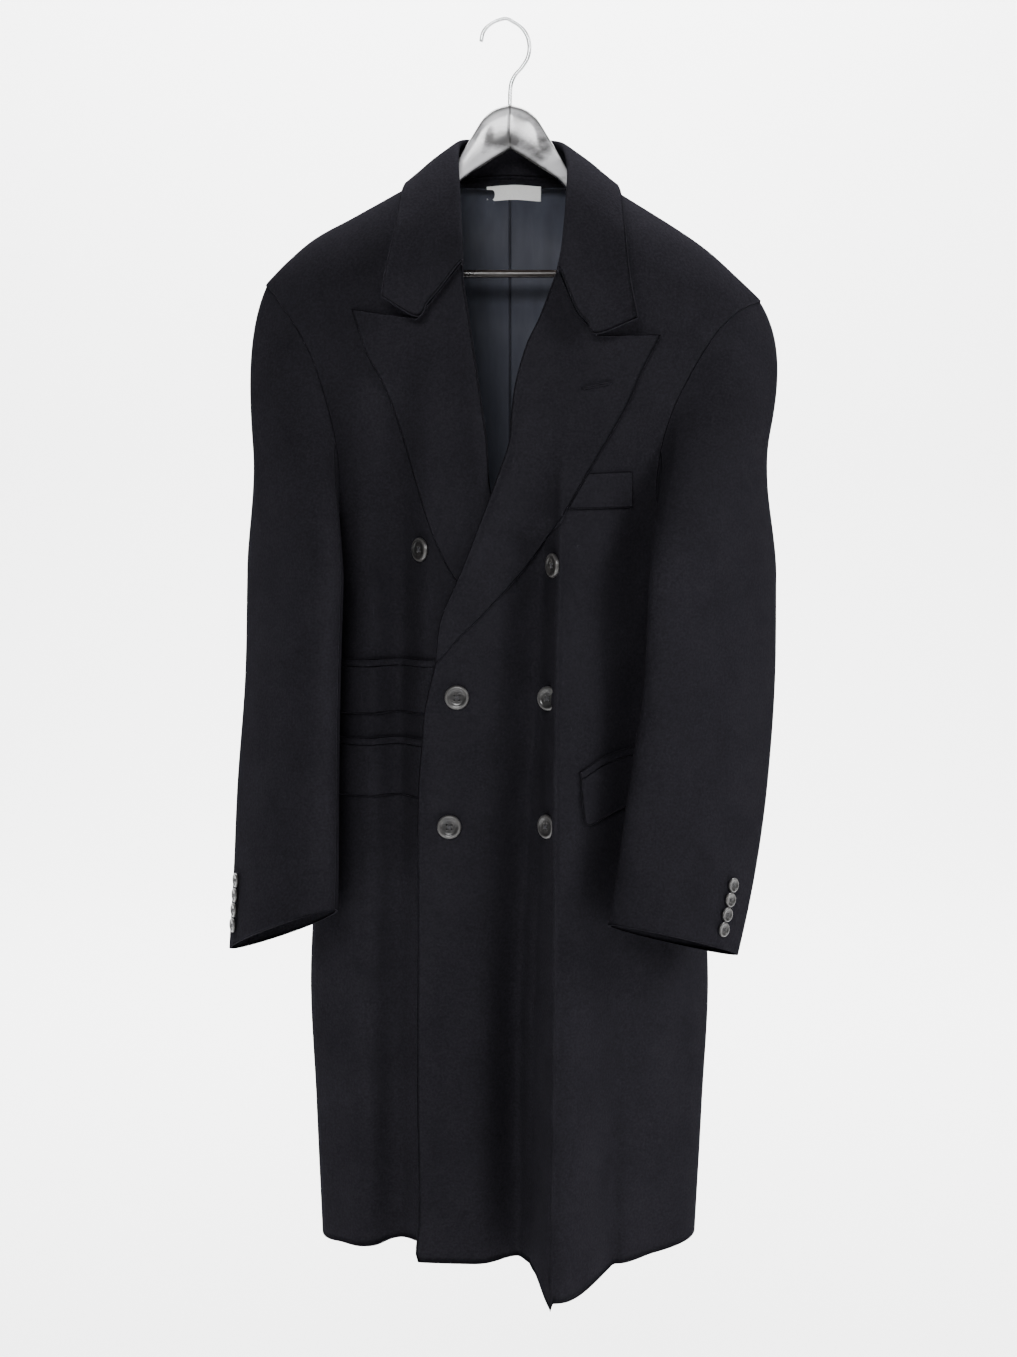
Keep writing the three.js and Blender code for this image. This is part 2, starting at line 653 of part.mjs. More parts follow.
// Half of a sleeve: the top sleeve is the outer part and the under sleeve is the part by the body
const TOP_SLEEVE_FROM = -7; // columns of the grid, counted from the shoulder tip
const TOP_SLEEVE_TO = 8;
function sleevePart(side, from, to) {
  const grid = sleeveGrid(side);
  const count = SLEEVE_AROUND;
  const pick = (row, k) => row[((k % count) + count) % count];
  const cut = grid.map((row) => {
    const line = [];
    for (let k = from; k <= to; k++) line.push(pick(row, k).clone());
    const gap = (a, b) => a.addScaledVector(b.clone().sub(a).normalize(), SEAM);
    gap(line[0], line[1]);
    gap(line[line.length - 1], line[line.length - 2]);
    return line;
  });
  const inner = cut.map((row, i) =>
    row.map((p, j) => {
      const column = (((from + j) % count) + count) % count;
      const left = grid[i][(column + count - 1) % count];
      const right = grid[i][(column + 1) % count];
      const above = grid[Math.max(i - 1, 0)][column];
      const below = grid[Math.min(i + 1, grid.length - 1)][column];
      const normal = below.clone().sub(above).cross(right.clone().sub(left)).normalize();
      const centre = grid[i].reduce((sum, q) => sum.add(q), new THREE.Vector3()).divideScalar(count);
      if (normal.dot(p.clone().sub(centre)) > 0) normal.negate();
      if (i === 0) normal.setX(0).normalize();
      return p.clone().addScaledVector(normal, WALL);
    }),
  );
  return wall(cut, inner);
}

// Collar
function collarStation(t) {
  const curve = (key) => {
    const points = COLLAR.map((row) => new THREE.Vector3(...row[key]));
    return new THREE.CatmullRomCurve3(points, false, "centripetal").getPoint(t);
  };
  return { fold: curve("fold"), edge: curve("edge"), stand: curve("stand") };
}

// One line of the collar from the bottom of its stand, over the fold, to the leaf's edge
function collarLine(t) {
  const { fold, edge, stand } = collarStation(t);
  const out = edge.clone().sub(fold);
  out.z = 0;
  out.normalize();
  const side = t < 0.5 ? "left" : "right";
  const end = Math.max(1 - Math.min(t, 1 - t) / NOTCH_REACH, 0) ** 2;
  const leaf = LEAF.map((point) => {
    const share = THREE.MathUtils.lerp(point.share, point[side].share, end);
    const drop = point[side].drop * end;
    const p = fold.clone().lerp(edge, share).addScaledVector(out, point.bulge * (1 - 0.8 * end));
    return p.add(new THREE.Vector3(0, -NOTCH_SLOPE * drop, -drop));
  });
  return [
    stand,
    stand.clone().lerp(fold, 0.5),
    fold.clone().addScaledVector(out, -0.5).add(new THREE.Vector3(0, 0, -3)),
    fold.clone().addScaledVector(out, 2.2),
    ...leaf,
    edge,
  ];
}

function collar() {
  const middle = [];
  for (let i = 0; i <= COLLAR_ALONG; i++) middle.push(collarLine(i / COLLAR_ALONG));
  const normals = gridNormals(middle, 1);
  const moved = (far) => {
    return middle.map((row, i) => row.map((p, j) => p.clone().addScaledVector(normals[i][j], far)));
  };
  return wall(moved(WALL / 2), moved(-WALL / 2));
}

// Buttons: a disc with a raised rim and a dished middle
function button(radius, thick, sides) {
  const profile = [
    [0, 0], [radius * 0.72, 0], [radius, thick * 0.35], [radius * 0.97, thick * 0.85],
    [radius * 0.84, thick], [radius * 0.66, thick * 0.72], [0, thick * 0.68],
  ];
  const geometry = new THREE.LatheGeometry(profile.map(([r, h]) => new THREE.Vector2(r, h)), sides);
  return facing(geometry);
}

// The same geometry with shared points merged and its faces turned out
function facing(geometry) {
  const bare = geometry.clone();
  bare.deleteAttribute("normal");
  bare.deleteAttribute("uv");
  const merged = mergeVertices(bare, 1e-4);
  return facingOut([...merged.attributes.position.array], [...merged.index.array]);
}

// Hanger body: a loft along x of rounded sections
function hangerBody() {
  const both = [...HANGER.slice(1).reverse().map((row) => ({ ...row, x: -row.x })), ...HANGER];
  const rings = both.map((row) =>
    [...Array(HANGER_AROUND).keys()].map((k) => {
      const a = (2 * Math.PI * k) / HANGER_AROUND;
      const square = (v) => Math.sign(v) * Math.abs(v) ** 0.7;
      const y = row.y + row.half * square(Math.cos(a));
      const z = (row.top + row.bottom) / 2 + ((row.top - row.bottom) / 2) * square(Math.sin(a));
      return new THREE.Vector3(row.x, y, z);
    }),
  );
  const position = rings.flat().flatMap((p) => [p.x, p.y, p.z]);
  const index = [];
  const n = HANGER_AROUND;
  for (let i = 0; i < rings.length - 1; i++) {
    for (let k = 0; k < n; k++) {
      const [a, b] = [i * n + k, i * n + ((k + 1) % n)];
      index.push(a, b, b + n, a, b + n, a + n);
    }
  }
  const last = (rings.length - 1) * n;
  for (let k = 1; k < n - 1; k++) {
    index.push(0, k + 1, k);
    index.push(last, last + k, last + k + 1);
  }
  return facingOut(position, index);
}

function rod(radius, from, to, sides) {
  const shape = new THREE.Shape();
  shape.absarc(0, 0, radius, 0, 2 * Math.PI);
  const extrudePath = new THREE.LineCurve3(from, to);
  const options = { extrudePath, steps: 1, curveSegments: sides / 2, bevelEnabled: false };
  return facing(new THREE.ExtrudeGeometry(shape, options));
}

function hookWire() {
  const shape = new THREE.Shape();
  shape.absarc(0, 0, WIRE_RADIUS, 0, 2 * Math.PI);
  const points = HOOK.map(([x, z]) => new THREE.Vector3(x, 0, z));
  const extrudePath = new THREE.CatmullRomCurve3(points, false, "centripetal");
  const options = { extrudePath, steps: 24, curveSegments: 4, bevelEnabled: false };
  return facing(new THREE.ExtrudeGeometry(shape, options));
}

function trouserBar(radius, half) {
  const end = (x) => new THREE.Vector3(x, BAR_BACK, BAR_HEIGHT);
  return rod(radius, end(-half), end(half), BAR_SIDES);
}

function hangerWithSockets() {
  const bar = trouserBar(BAR_RADIUS + SOCKET_GAP, BAR_HALF + 1);
  const foot = new THREE.Vector3(0, 0, HOOK[0][1] - 1);
  const stem = rod(WIRE_RADIUS + SOCKET_GAP + 0.2, foot, new THREE.Vector3(0, 0, -60), BAR_SIDES);
  return geometryOf(solid(hangerBody()).subtract(solid(bar)).subtract(solid(stem)));
}

// Assembly
const group = new THREE.Group();
group.position.set(HOOK_ASIDE, 0, HOOK_DROP);

function add(name, geometry, look) {
  const mesh = new THREE.Mesh(geometry, look);
  mesh.name = name;
  group.add(mesh);
  return mesh;
}

function addCut(name, layer, outline, look = CLOTH) {
  add(name, geometryOf(layer.intersect(prism(outline))), look);
}

function addBody() {
  const front = bodyGrid(-1);
  const back = bodyGrid(1);
  const layers = [0, 1, 2, 3].map((count) => bodyLayer(front, count));
  const backLayer = bodyLayer(back, 0);
  const liningLayer = bodyLayer(back, 0, LINING_WALL, LINING_WALL + CLOTH_GAP);
  const labelLayer = bodyLayer(back, 0, LABEL_WALL, LINING_WALL + 2 * CLOTH_GAP + LABEL_WALL);
  addCut("front_left", layers[0], underFrontOutline());
  addCut("front_right", layers[2], topFrontOutline());
  addCut("lapel_left", layers[1], lapelOutline("left"));
  addCut("lapel_right", layers[3], lapelOutline("right"));
  PATCHES.forEach(({ node, on, at }) => addCut(node, layers[on], at));
  ["left", "right"].forEach((side) => addCut("back_" + side, backLayer, backOutline(side)));
  addInside(liningLayer, labelLayer);
}

// What shows inside the neck: the facing, the label on it and the two halves of the lining
const FACING = [
  [-60, -174], [-36, -172], [0, -169], [36, -172], [60, -174], [84, -181], [0, -177], [-84, -181],
];
const NECK_LABEL = [[-24, -175], [4, -173], [32, -175], [32, -189], [4, -187], [-24, -189]];
const LINING_TOP = [[0, -177.5], [84, -181.5], [150, -225]];
const LINING_BOTTOM = -720;
const LINING_HALF = { left: -150, right: 140 };

function liningOutline(side) {
  const sign = side === "left" ? -1 : 1;
  const far = LINING_HALF[side];
  const top = LINING_TOP.slice(1).map(([x, z]) => [sign * Math.min(x, Math.abs(far)), z]);
  return [[sign * SEAM, LINING_TOP[0][1]], ...top, [far, LINING_BOTTOM], [sign * SEAM, LINING_BOTTOM]];
}

function addInside(liningLayer, labelLayer) {
  addCut("neck_facing", liningLayer, FACING);
  addCut("neck_label", labelLayer, NECK_LABEL, LABEL);
  ["left", "right"].forEach((side) => addCut("lining_" + side, liningLayer, liningOutline(side), LINING));
}

function addSleeves() {
  ["left", "right"].forEach((side) => {
    add("top_sleeve_" + side, sleevePart(side, TOP_SLEEVE_FROM, TOP_SLEEVE_TO), CLOTH);
    add("under_sleeve_" + side, sleevePart(side, TOP_SLEEVE_TO, SLEEVE_AROUND + TOP_SLEEVE_FROM), CLOTH);
  });
}

function addButtons() {
  BUTTONS.forEach(({ x, z, on, turn, facet }, i) => {
    const mesh = add("button_" + (i + 1), button(BUTTON_RADIUS, BUTTON_THICK, BUTTON_SIDES), HORN);
    const angle = THREE.MathUtils.degToRad(turn);
    const out = new THREE.Vector3(-Math.sin(angle), -Math.cos(angle), 0);
    mesh.quaternion.setFromUnitVectors(UP_Y, out);
    mesh.position.copy(seated(x, z, out, carried(on, x, z) + WALL - facet));
  });
}
const BUTTON_SIDES = 16;
const SLEEVE_BUTTON_SIDES = 10;
const UP_Y = new THREE.Vector3(0, 1, 0);

// Points on the outer face of the front's cloth round a place
const CLOTH_REACH = 24;
const CLOTH_STEP = 1;
function clothNear(x0, z0, layers) {
  const points = [];
  for (let x = x0 - CLOTH_REACH; x <= x0 + CLOTH_REACH; x += CLOTH_STEP) {
    for (let z = z0 - CLOTH_REACH; z <= z0 + CLOTH_REACH; z += 3 * CLOTH_STEP) {
      const slopeX = (depth(-1, x + 1, z) - depth(-1, x - 1, z)) / 2;
      const slopeZ = (depth(-1, x, z + 1) - depth(-1, x, z - 1)) / 2;
      const normal = new THREE.Vector3(slopeX, -1, slopeZ).normalize();
      points.push(new THREE.Vector3(x, depth(-1, x, z), z).addScaledVector(normal, layers));
    }
  }
  return points;
}

// A button's place on the front: it comes in from well in front until it almost meets the cloth
const SEAT_FROM = 60;
const SEAT_STEP = 0.2;
function seated(x, z, out, layers) {
  const cloth = clothNear(x, z, layers);
  const place = new THREE.Vector3(x, depth(-1, x, z) - SEAT_FROM, z);
  const meets = (p) => {
    const off = p.clone().sub(place);
    const high = off.dot(out);
    return high > -BUTTON_GAP && off.lengthSq() - high * high < BUTTON_RADIUS ** 2;
  };
  while (!cloth.some(meets)) place.y += SEAT_STEP;
  place.y -= SEAT_STEP;
  return place;
}

const CUFF_BUTTON_ANGLE = -0.12 * Math.PI;
function addSleeveButtons() {
  ["left", "right"].forEach((side) => {
    for (let i = 0; i < CUFF_BUTTON.count; i++) {
      const row = sleeveRow(side, CUFF_BUTTON.first + i * CUFF_BUTTON.step);
      const at = (turn) => sleevePoint(side, row, CUFF_BUTTON_ANGLE + turn);
      const tangent = at(0.1).sub(at(-0.1));
      const out = new THREE.Vector3(-tangent.y, tangent.x, 0).normalize();
      if (out.x * SLEEVES[side].side < 0) out.negate();
      const geometry = button(SLEEVE_BUTTON_RADIUS, SLEEVE_BUTTON_THICK, SLEEVE_BUTTON_SIDES);
      const mesh = add(`cuff_button_${side}_${i + 1}`, geometry, HORN);
      mesh.quaternion.setFromUnitVectors(UP_Y, out);
      mesh.position.copy(at(0)).addScaledVector(out, SLEEVE_BUTTON_GAP);
    }
  });
}

function addHanger() {
  add("hanger", hangerWithSockets(), WOOD);
  add("trouser_bar", trouserBar(BAR_RADIUS, BAR_HALF), WOOD);
  add("hook", hookWire(), STEEL);
}

addBody();
add("collar", collar(), CLOTH);
addSleeves();
addButtons();
addSleeveButtons();
addHanger();

export default group;
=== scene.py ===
# %% [markdown]
# # A double-breasted overcoat on its hanger
# A tailor builds a long overcoat from a small set of heavy wool pieces: two fronts, two back halves,
# two-piece sleeves, a collar and the facings that turn out as lapels. This lesson makes each of them as
# a thin shell on one shared body form, so every piece lies on the one below it as sewn cloth does.

import math

import bpy
import numpy as np
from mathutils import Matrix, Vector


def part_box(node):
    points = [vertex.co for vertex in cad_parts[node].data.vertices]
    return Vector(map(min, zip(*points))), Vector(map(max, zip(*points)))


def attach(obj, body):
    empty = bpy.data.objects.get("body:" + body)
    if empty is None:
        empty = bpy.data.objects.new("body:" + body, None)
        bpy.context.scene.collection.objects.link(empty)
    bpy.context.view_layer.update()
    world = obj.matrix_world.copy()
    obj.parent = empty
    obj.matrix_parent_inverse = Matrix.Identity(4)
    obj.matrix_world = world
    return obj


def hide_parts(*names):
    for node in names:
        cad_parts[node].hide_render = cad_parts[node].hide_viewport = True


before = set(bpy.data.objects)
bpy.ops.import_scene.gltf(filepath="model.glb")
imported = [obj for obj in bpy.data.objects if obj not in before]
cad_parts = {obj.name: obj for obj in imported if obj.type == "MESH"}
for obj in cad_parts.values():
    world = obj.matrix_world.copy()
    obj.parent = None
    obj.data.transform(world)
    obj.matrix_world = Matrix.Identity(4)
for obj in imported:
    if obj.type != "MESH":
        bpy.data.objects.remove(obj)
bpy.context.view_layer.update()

# %% [markdown]
# ## The camera
# The coat was photographed nearly square on, with the lens a little below the lapels and tipped down
# by about five degrees. A lens of 62 mm at 2.4 m gives the same slight fall towards the hem.

# %%
CAMERA_PLACE = (0.0025, -2.4, -0.428)
CAMERA_TILT_DEG = 5.59
CAMERA_LENS = 62.1

camera_data = bpy.data.cameras.new("camera")
camera_data.lens = CAMERA_LENS
camera_data.sensor_width = 36
camera = bpy.data.objects.new("camera", camera_data)
camera.location = CAMERA_PLACE
camera.rotation_euler = (math.radians(90 - CAMERA_TILT_DEG), 0, 0)
bpy.context.scene.collection.objects.link(camera)
bpy.context.scene.camera = camera

# %% [markdown]
# ## The body form
# A hanging coat keeps the shape that its canvas gives it: flat over the chest, square at the sides and
# rounded over the shoulders. Sections give that form at a few heights, and a table of folds adds the
# long pipes that the cloth drops into below the waist. Sizes are millimetres, with heights measured
# from a level just above the hook.

# %%
HOOK_DROP, HOOK_ASIDE = 17.0, 4.0
HEM, UNDERARM, ROUND_DEPTH, SIDE_POWER = -1270.0, -531.0, 72.0, 2.5
WALL, LAYER, SEAM = 2.5, 3.1, 0.15

SECTIONS = [
    {"z": -150, "left": 247, "right": 254, "side": 14, "front": 62, "back": 46},
    {"z": -280, "left": 247, "right": 254, "side": 14, "front": 86, "back": 60},
    {"z": -400, "left": 210, "right": 208, "side": 14, "front": 110, "back": 72},
    {"z": -530, "left": 181, "right": 180, "side": 14, "front": 122, "back": 80},
    {"z": -700, "left": 187, "right": 185, "side": 12, "front": 122, "back": 86},
    {"z": -950, "left": 205, "right": 204, "side": 8, "front": 104, "back": 92},
    {"z": -1110, "left": 200.5, "right": 199, "side": 7, "front": 94, "back": 94},
    {"z": -1270, "left": 195, "right": 192, "side": 6, "front": 84, "back": 96},
]
SHOULDER = {
    "left": [
        {"x": 0, "z": -150},
        {"x": 75, "z": -167},
        {"x": 105, "z": -184},
        {"x": 158, "z": -213},
        {"x": 197, "z": -234},
        {"x": 225, "z": -257},
        {"x": 247, "z": -279},
    ],
    "right": [
        {"x": 0, "z": -150},
        {"x": 75, "z": -167},
        {"x": 109, "z": -188},
        {"x": 171, "z": -226},
        {"x": 201, "z": -247},
        {"x": 228, "z": -271},
        {"x": 254, "z": -295},
    ],
}
# name; x at the start and at full form; heights of start, full form and end; rise; width to either side
FRONT_FOLDS = [
    ("main ridge", (55, 40), (-470, -1270, -2000), (12, 112), (20, 78)),
    ("main valley", (32, 8), (-470, -1000, -2000), (-15, -26), (46, 24)),
    ("lapel valley", (-107, -109), (-360, -560, -800), (-8, -24), (44, 33)),
    ("edge valley", (-104, -112), (-560, -900, -2000), (-6, -17), (34, 24)),
    ("left flute", (-150, -152), (-780, -1200, -2000), (0, 13), (26, 30)),
    ("right flute", (118, 116), (-800, -1200, -2000), (0, 12), (16, 34)),
]
BACK_FOLDS = [
    ("left flute", (-96, -104), (-560, -1200, -2000), (0, 24), (44, 52)),
    ("centre flute", (12, 18), (-620, -1200, -2000), (0, 17), (50, 42)),
    ("right flute", (112, 120), (-600, -1200, -2000), (0, 22), (52, 40)),
]
FOLD_ENTER, FOLD_LEAVE = 60, 120


SIGN = {"left": -1, "right": 1}


def column(rows, name):
    return np.array([row[name] for row in rows], float)


def along(rows, key, at, name):
    """Value of a column at a place between a table's rows: cubic, passing through every row."""
    k, v = column(rows, key), column(rows, name)
    if k[-1] < k[0]:
        k, v = k[::-1], v[::-1]
    at = np.asarray(at, float)
    b = np.clip(np.searchsorted(k, at), 1, len(k) - 1)
    a = b - 1
    before, after = np.maximum(a - 1, 0), np.minimum(b + 1, len(k) - 1)
    span = k[b] - k[a]
    t = np.clip((at - k[a]) / span, 0, 1)
    slope_a = (v[b] - v[before]) / (k[b] - k[before]) * span
    slope_b = (v[after] - v[a]) / (k[after] - k[a]) * span
    start, end = 2 * t**3 - 3 * t**2 + 1, 3 * t**2 - 2 * t**3
    bend_a, bend_b = t**3 - 2 * t**2 + t, t**3 - t**2
    return start * v[a] + bend_a * slope_a + end * v[b] + bend_b * slope_b


def smoothstep(value, low, high):
    t = np.clip((np.asarray(value, float) - low) / (high - low), 0, 1)
    return t * t * (3 - 2 * t)


def shoulder_height(x):
    x = np.asarray(x, float)
    left, right = (along(SHOULDER[s], "x", abs(x), "z") for s in ("left", "right"))
    return np.where(x < 0, left, right)


def half_width(level, x):
    left, right = (along(SECTIONS, "z", level, s) for s in ("left", "right"))
    return np.where(np.asarray(x) < 0, left, right)


def section_level(x, z):
    """The table height that a place takes its section from: the same share of the way to the hem."""
    return HEM + (z - HEM) / (shoulder_height(x) - HEM) * (shoulder_height(0.0) - HEM)


def seam_width(z, sign):
    """Where the side seam runs: the half width at the level that belongs to that very place."""
    width = half_width(z, sign)
    for _ in range(6):
        width = half_width(section_level(sign * width, z), sign)
    return width


def fold_rise(fold, x, z):
    """A bell across the fold's line, growing down its length and dying out at its end."""
    _, (x0, x1), (start, full, end), (rise0, rise1), (left, right) = fold
    down = np.clip((z - start) / (full - start), 0, 1)
    off = x - (x0 + (x1 - x0) * down)
    t = np.minimum(abs(off) / np.where(off < 0, left, right), 1)
    enter = smoothstep(start - z, -FOLD_ENTER, FOLD_ENTER)
    leave = smoothstep(z - end, -FOLD_LEAVE, FOLD_LEAVE)
    rise = rise0 + (rise1 - rise0) * down * (0.3 + 0.7 * down)
    return rise * enter * leave * 0.5 * (1 + np.cos(np.pi * t))


# Small creases: two ends as x, z, then half width and rise; a trough has a negative rise
FRONT_CREASES = [
    ((36, -640), (-58, -800), 15, -2.6),
    ((44, -720), (-30, -842), 10, -1.5),
    ((-40, -705), (34, -700), 13, 1.4),
    ((46, -560), (-20, -640), 12, -1.8),
    ((-150, -420), (-128, -560), 10, -1.8),
    ((-166, -500), (-120, -640), 13, 1.6),
    ((-172, -560), (-138, -720), 9, -1.4),
    ((150, -455), (122, -600), 11, -2.2),
    ((146, -520), (104, -700), 14, 1.8),
    ((168, -640), (128, -830), 12, -1.7),
    ((-206, -268), (-150, -330), 9, -1.5),
    ((-186, -262), (-128, -288), 12, 1.2),
    ((216, -288), (160, -338), 9, -1.7),
    ((196, -262), (138, -300), 12, 1.3),
    ((-62, -850), (-66, -1190), 14, -2.6),
    ((-20, -900), (-30, -1240), 18, 2.4),
    ((84, -880), (92, -1200), 11, -2.4),
    ((150, -940), (146, -1230), 14, 2.2),
    ((-166, -860), (-172, -1200), 10, -2.4),
    ((172, -900), (176, -1180), 9, -1.8),
]
BACK_CREASES = [
    ((-150, -330), (-60, -380), 14, -2.2),
    ((146, -345), (70, -402), 12, -2.6),
    ((-158, -430), (-112, -600), 13, -2.4),
    ((160, -450), (120, -640), 11, -2.0),
    ((-60, -300), (52, -312), 16, 1.6),
    ((-40, -520), (-56, -760), 15, -2.2),
    ((64, -560), (72, -780), 13, 1.8),
    ((-150, -760), (-156, -1120), 12, -2.6),
    ((56, -820), (62, -1200), 16, -2.8),
    ((168, -820), (172, -1160), 11, 2.0),
    ((-28, -900), (-34, -1220), 14, 2.2),
]


def crease_rise(creases, x, z):
    """Soft troughs and ridges along short lines, tapered at both ends."""
    rise = 0 * x
    for (x0, z0), (x1, z1), half, high in creases:
        dx, dz = x1 - x0, z1 - z0
        length = math.hypot(dx, dz)
        t = ((x - x0) * dx + (z - z0) * dz) / length**2
        off = ((x - x0) * dz - (z - z0) * dx) / length
        taper = np.sin(np.pi * np.clip(t, 0, 1)) ** 1.2
        rise = rise + high * taper * np.exp(-((off / half) ** 2))
    return rise


def depth(face, x, z, folded=True):
    """y of the body form at x, z: side seam, plus a squared oval in plan, rounded at the shoulder."""
    x, z = np.broadcast_arrays(np.asarray(x, float), np.asarray(z, float))
    top, level = shoulder_height(x), section_level(x, z)
    across = np.minimum(abs(x) / half_width(level, x), 1)
    plan = (1 - across**SIDE_POWER) ** (1 / SIDE_POWER)
    turned = np.sqrt(1 - (1 - np.clip((top - z) / ROUND_DEPTH, 0, 1)) ** 2)
    stand = along(SECTIONS, "z", level, "front" if face < 0 else "back")
    rise = 0 * x
    if folded:
        folds, creases = (FRONT_FOLDS, FRONT_CREASES) if face < 0 else (BACK_FOLDS, BACK_CREASES)
        rise = sum(fold_rise(fold, x, z) for fold in folds) + crease_rise(creases, x, z)
    return along(SECTIONS, "z", level, "side") + face * (stand * plan * turned + rise * np.sqrt(plan))


def outward(face, x, z, folded=True):
    """The direction square to the body form, from its slopes along x and z."""
    near = 0.5
    slope_x = (depth(face, x + near, z, folded) - depth(face, x - near, z, folded)) / (2 * near)
    slope_z = (depth(face, x, z + near, folded) - depth(face, x, z - near, folded)) / (2 * near)
    n = face * np.stack([-slope_x, 1 + 0 * slope_x, -slope_z], axis=-1)
    return n / np.linalg.norm(n, axis=-1, keepdims=True)


# Where the right front lies over the left one: its fade to the side, and from the top down
OVERLAP_SIDE, OVERLAP_TOP = (84, 128), (380, 470)


def layer_fade(x, z):
    return (1 - smoothstep(x, *OVERLAP_SIDE)) * smoothstep(-z, *OVERLAP_TOP)


def carried(count, x, z):
    """How far a layer's inner face lies off the body form."""
    if count < 2:
        return count * LAYER + 0 * x
    return layer_fade(x, z) * 2 * LAYER + (count - 2) * LAYER


print("front depth at the waist:", float(depth(-1, 0.0, -700.0)), "mm")

# %% [markdown]
# ## Cloth pieces as shells
# A cut piece has four sides, so its flat outline is filled with a grid that blends the four edges, and
# each grid point is then set on the body form and moved out along the form's own direction. Two such
# faces and a rounded rim make the thick, soft-edged wall of melton cloth.

# %%
def to_frame(points):
    """Millimetres in the tables' heights to metres in the object's frame."""
    return (np.asarray(points, float) + (HOOK_ASIDE, 0, HOOK_DROP)) / 1000


def smooth_mesh(name, points, faces):
    """A smooth-shaded mesh object in the scene, from points in metres."""
    mesh = bpy.data.meshes.new(name)
    mesh.from_pydata(points, [], faces)
    mesh.polygons.foreach_set("use_smooth", [True] * len(mesh.polygons))
    mesh.update()
    made = bpy.data.objects.new(name, mesh)
    bpy.context.scene.collection.objects.link(made)
    return made


def link_mesh(name, points, faces, caps=()):
    """A piece that rides on the coat's one body, from points in millimetres."""
    piece = smooth_mesh(name, to_frame(points).tolist(), [*np.asarray(faces).tolist(), *caps])
    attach(piece, "root")
    return piece


def grid_faces(rows, cols, wrap=False, start=0):
    i, j = np.meshgrid(np.arange(rows - 1), np.arange(cols if wrap else cols - 1), indexing="ij")
    a, b = start + i * cols + j, start + i * cols + (j + 1) % cols
    return np.stack([a, a + cols, b + cols, b], axis=-1).reshape(-1, 4)


def normals_of(points):
    """Directions square to a grid, from the neighbours along both of its parameters."""
    down = np.gradient(points, axis=0)
    across = np.gradient(points, axis=1)
    n = np.cross(down, across)
    return n / np.maximum(np.linalg.norm(n, axis=-1, keepdims=True), 1e-9)


def rim_loop(rows, cols):
    """Indices round the edge of a grid, in order."""
    i, j = np.arange(rows), np.arange(cols)
    top, right = j[:-1], i[:-1] * cols + cols - 1
    bottom, left = (rows - 1) * cols + j[:0:-1], i[:0:-1] * cols
    return np.concatenate([top, right, bottom, left])


def shell(name, inner, outer, bulge=0.45):
    """A closed wall between two grids, with a half-round rim that stands out by bulge walls."""
    rows, cols = inner.shape[:2]
    flat_in, flat_out = inner.reshape(-1, 3), outer.reshape(-1, 3)
    loop = rim_loop(rows, cols)
    middle = (flat_in[loop] + flat_out[loop]) / 2
    thick = np.linalg.norm(flat_out[loop] - flat_in[loop], axis=1, keepdims=True)
    ahead = np.roll(middle, -1, axis=0) - np.roll(middle, 1, axis=0)
    out = np.cross(ahead, flat_out[loop] - flat_in[loop])
    out /= np.maximum(np.linalg.norm(out, axis=1, keepdims=True), 1e-9)
    centre = flat_in.mean(axis=0)
    if ((middle - centre) * out).sum() < 0:
        out = -out
    stand = out * thick * bulge
    half_round = [(0.8 * flat_in[loop] + 0.2 * flat_out[loop]) + stand * 0.75]
    half_round += [middle + stand]
    half_round += [(0.2 * flat_in[loop] + 0.8 * flat_out[loop]) + stand * 0.75]
    n = rows * cols
    points = np.concatenate([flat_in, flat_out, *half_round])
    faces = [grid_faces(rows, cols), grid_faces(rows, cols, start=n)[:, ::-1]]
    ids = [loop] + [2 * n + k * len(loop) + np.arange(len(loop)) for k in range(3)] + [n + loop]
    for a, b in zip(ids, ids[1:]):
        faces.append(np.stack([a, b, np.roll(b, -1), np.roll(a, -1)], axis=-1))
    faces = np.concatenate(faces)
    return link_mesh(name, points, facing_out(points, faces))


def facing_out(points, faces):
    """The faces turned so that the closed wall's volume is positive."""
    a, b, c, d = (points[faces[:, k]] for k in range(4))
    volume = (a * np.cross(b, c)).sum() + (a * np.cross(c, d)).sum()
    return faces if volume > 0 else faces[:, ::-1]


def smooth_line(points, count, straight=False):
    """Evenly spaced points along a line through the given ones, curved or with corners."""
    p = np.asarray(points, float)
    s = np.concatenate([[0], np.cumsum(np.linalg.norm(np.diff(p, axis=0), axis=1))])
    if straight or len(p) < 3:
        fine = p
    else:
        rows = [dict(s=a, x=b[0], z=b[1]) for a, b in zip(s, p)]
        at = np.linspace(0, s[-1], 400)
        fine = np.stack([along(rows, "s", at, k) for k in ("x", "z")], axis=1)
    s = np.concatenate([[0], np.cumsum(np.linalg.norm(np.diff(fine, axis=0), axis=1))])
    at = np.linspace(0, s[-1], count)
    return np.stack([np.interp(at, s, fine[:, k]) for k in (0, 1)], axis=1)


def joined(*lines, count):
    """Several lines end to end, spaced evenly over their whole length."""
    return smooth_line(np.concatenate([smooth_line(line, 160) for line in lines]), count, straight=True)


def at_shares(line, t):
    """Points of a line at shares of its own count, from 0 to 1."""
    own = np.linspace(0, 1, len(line))
    return np.stack([np.interp(t, own, line[:, k]) for k in (0, 1)], -1)


def blend_four(top, bottom, left, right, u, v):
    """A grid inside four edges: each point is the sum of the two pairs' blends less the corners'."""
    top, bottom = at_shares(top, u), at_shares(bottom, u)
    left, right = at_shares(left, v), at_shares(right, v)
    u, v = u[None, :, None], v[:, None, None]
    corners = (1 - u) * (1 - v) * top[0] + u * (1 - v) * top[-1]
    corners = corners + (1 - u) * v * bottom[0] + u * v * bottom[-1]
    return (1 - v) * top[None] + v * bottom[None] + (1 - u) * left[:, None] + u * right[:, None] - corners


# On a flank a wall is moved further, as the slope asks, but no further than this slope asks
STEEPEST = 0.3


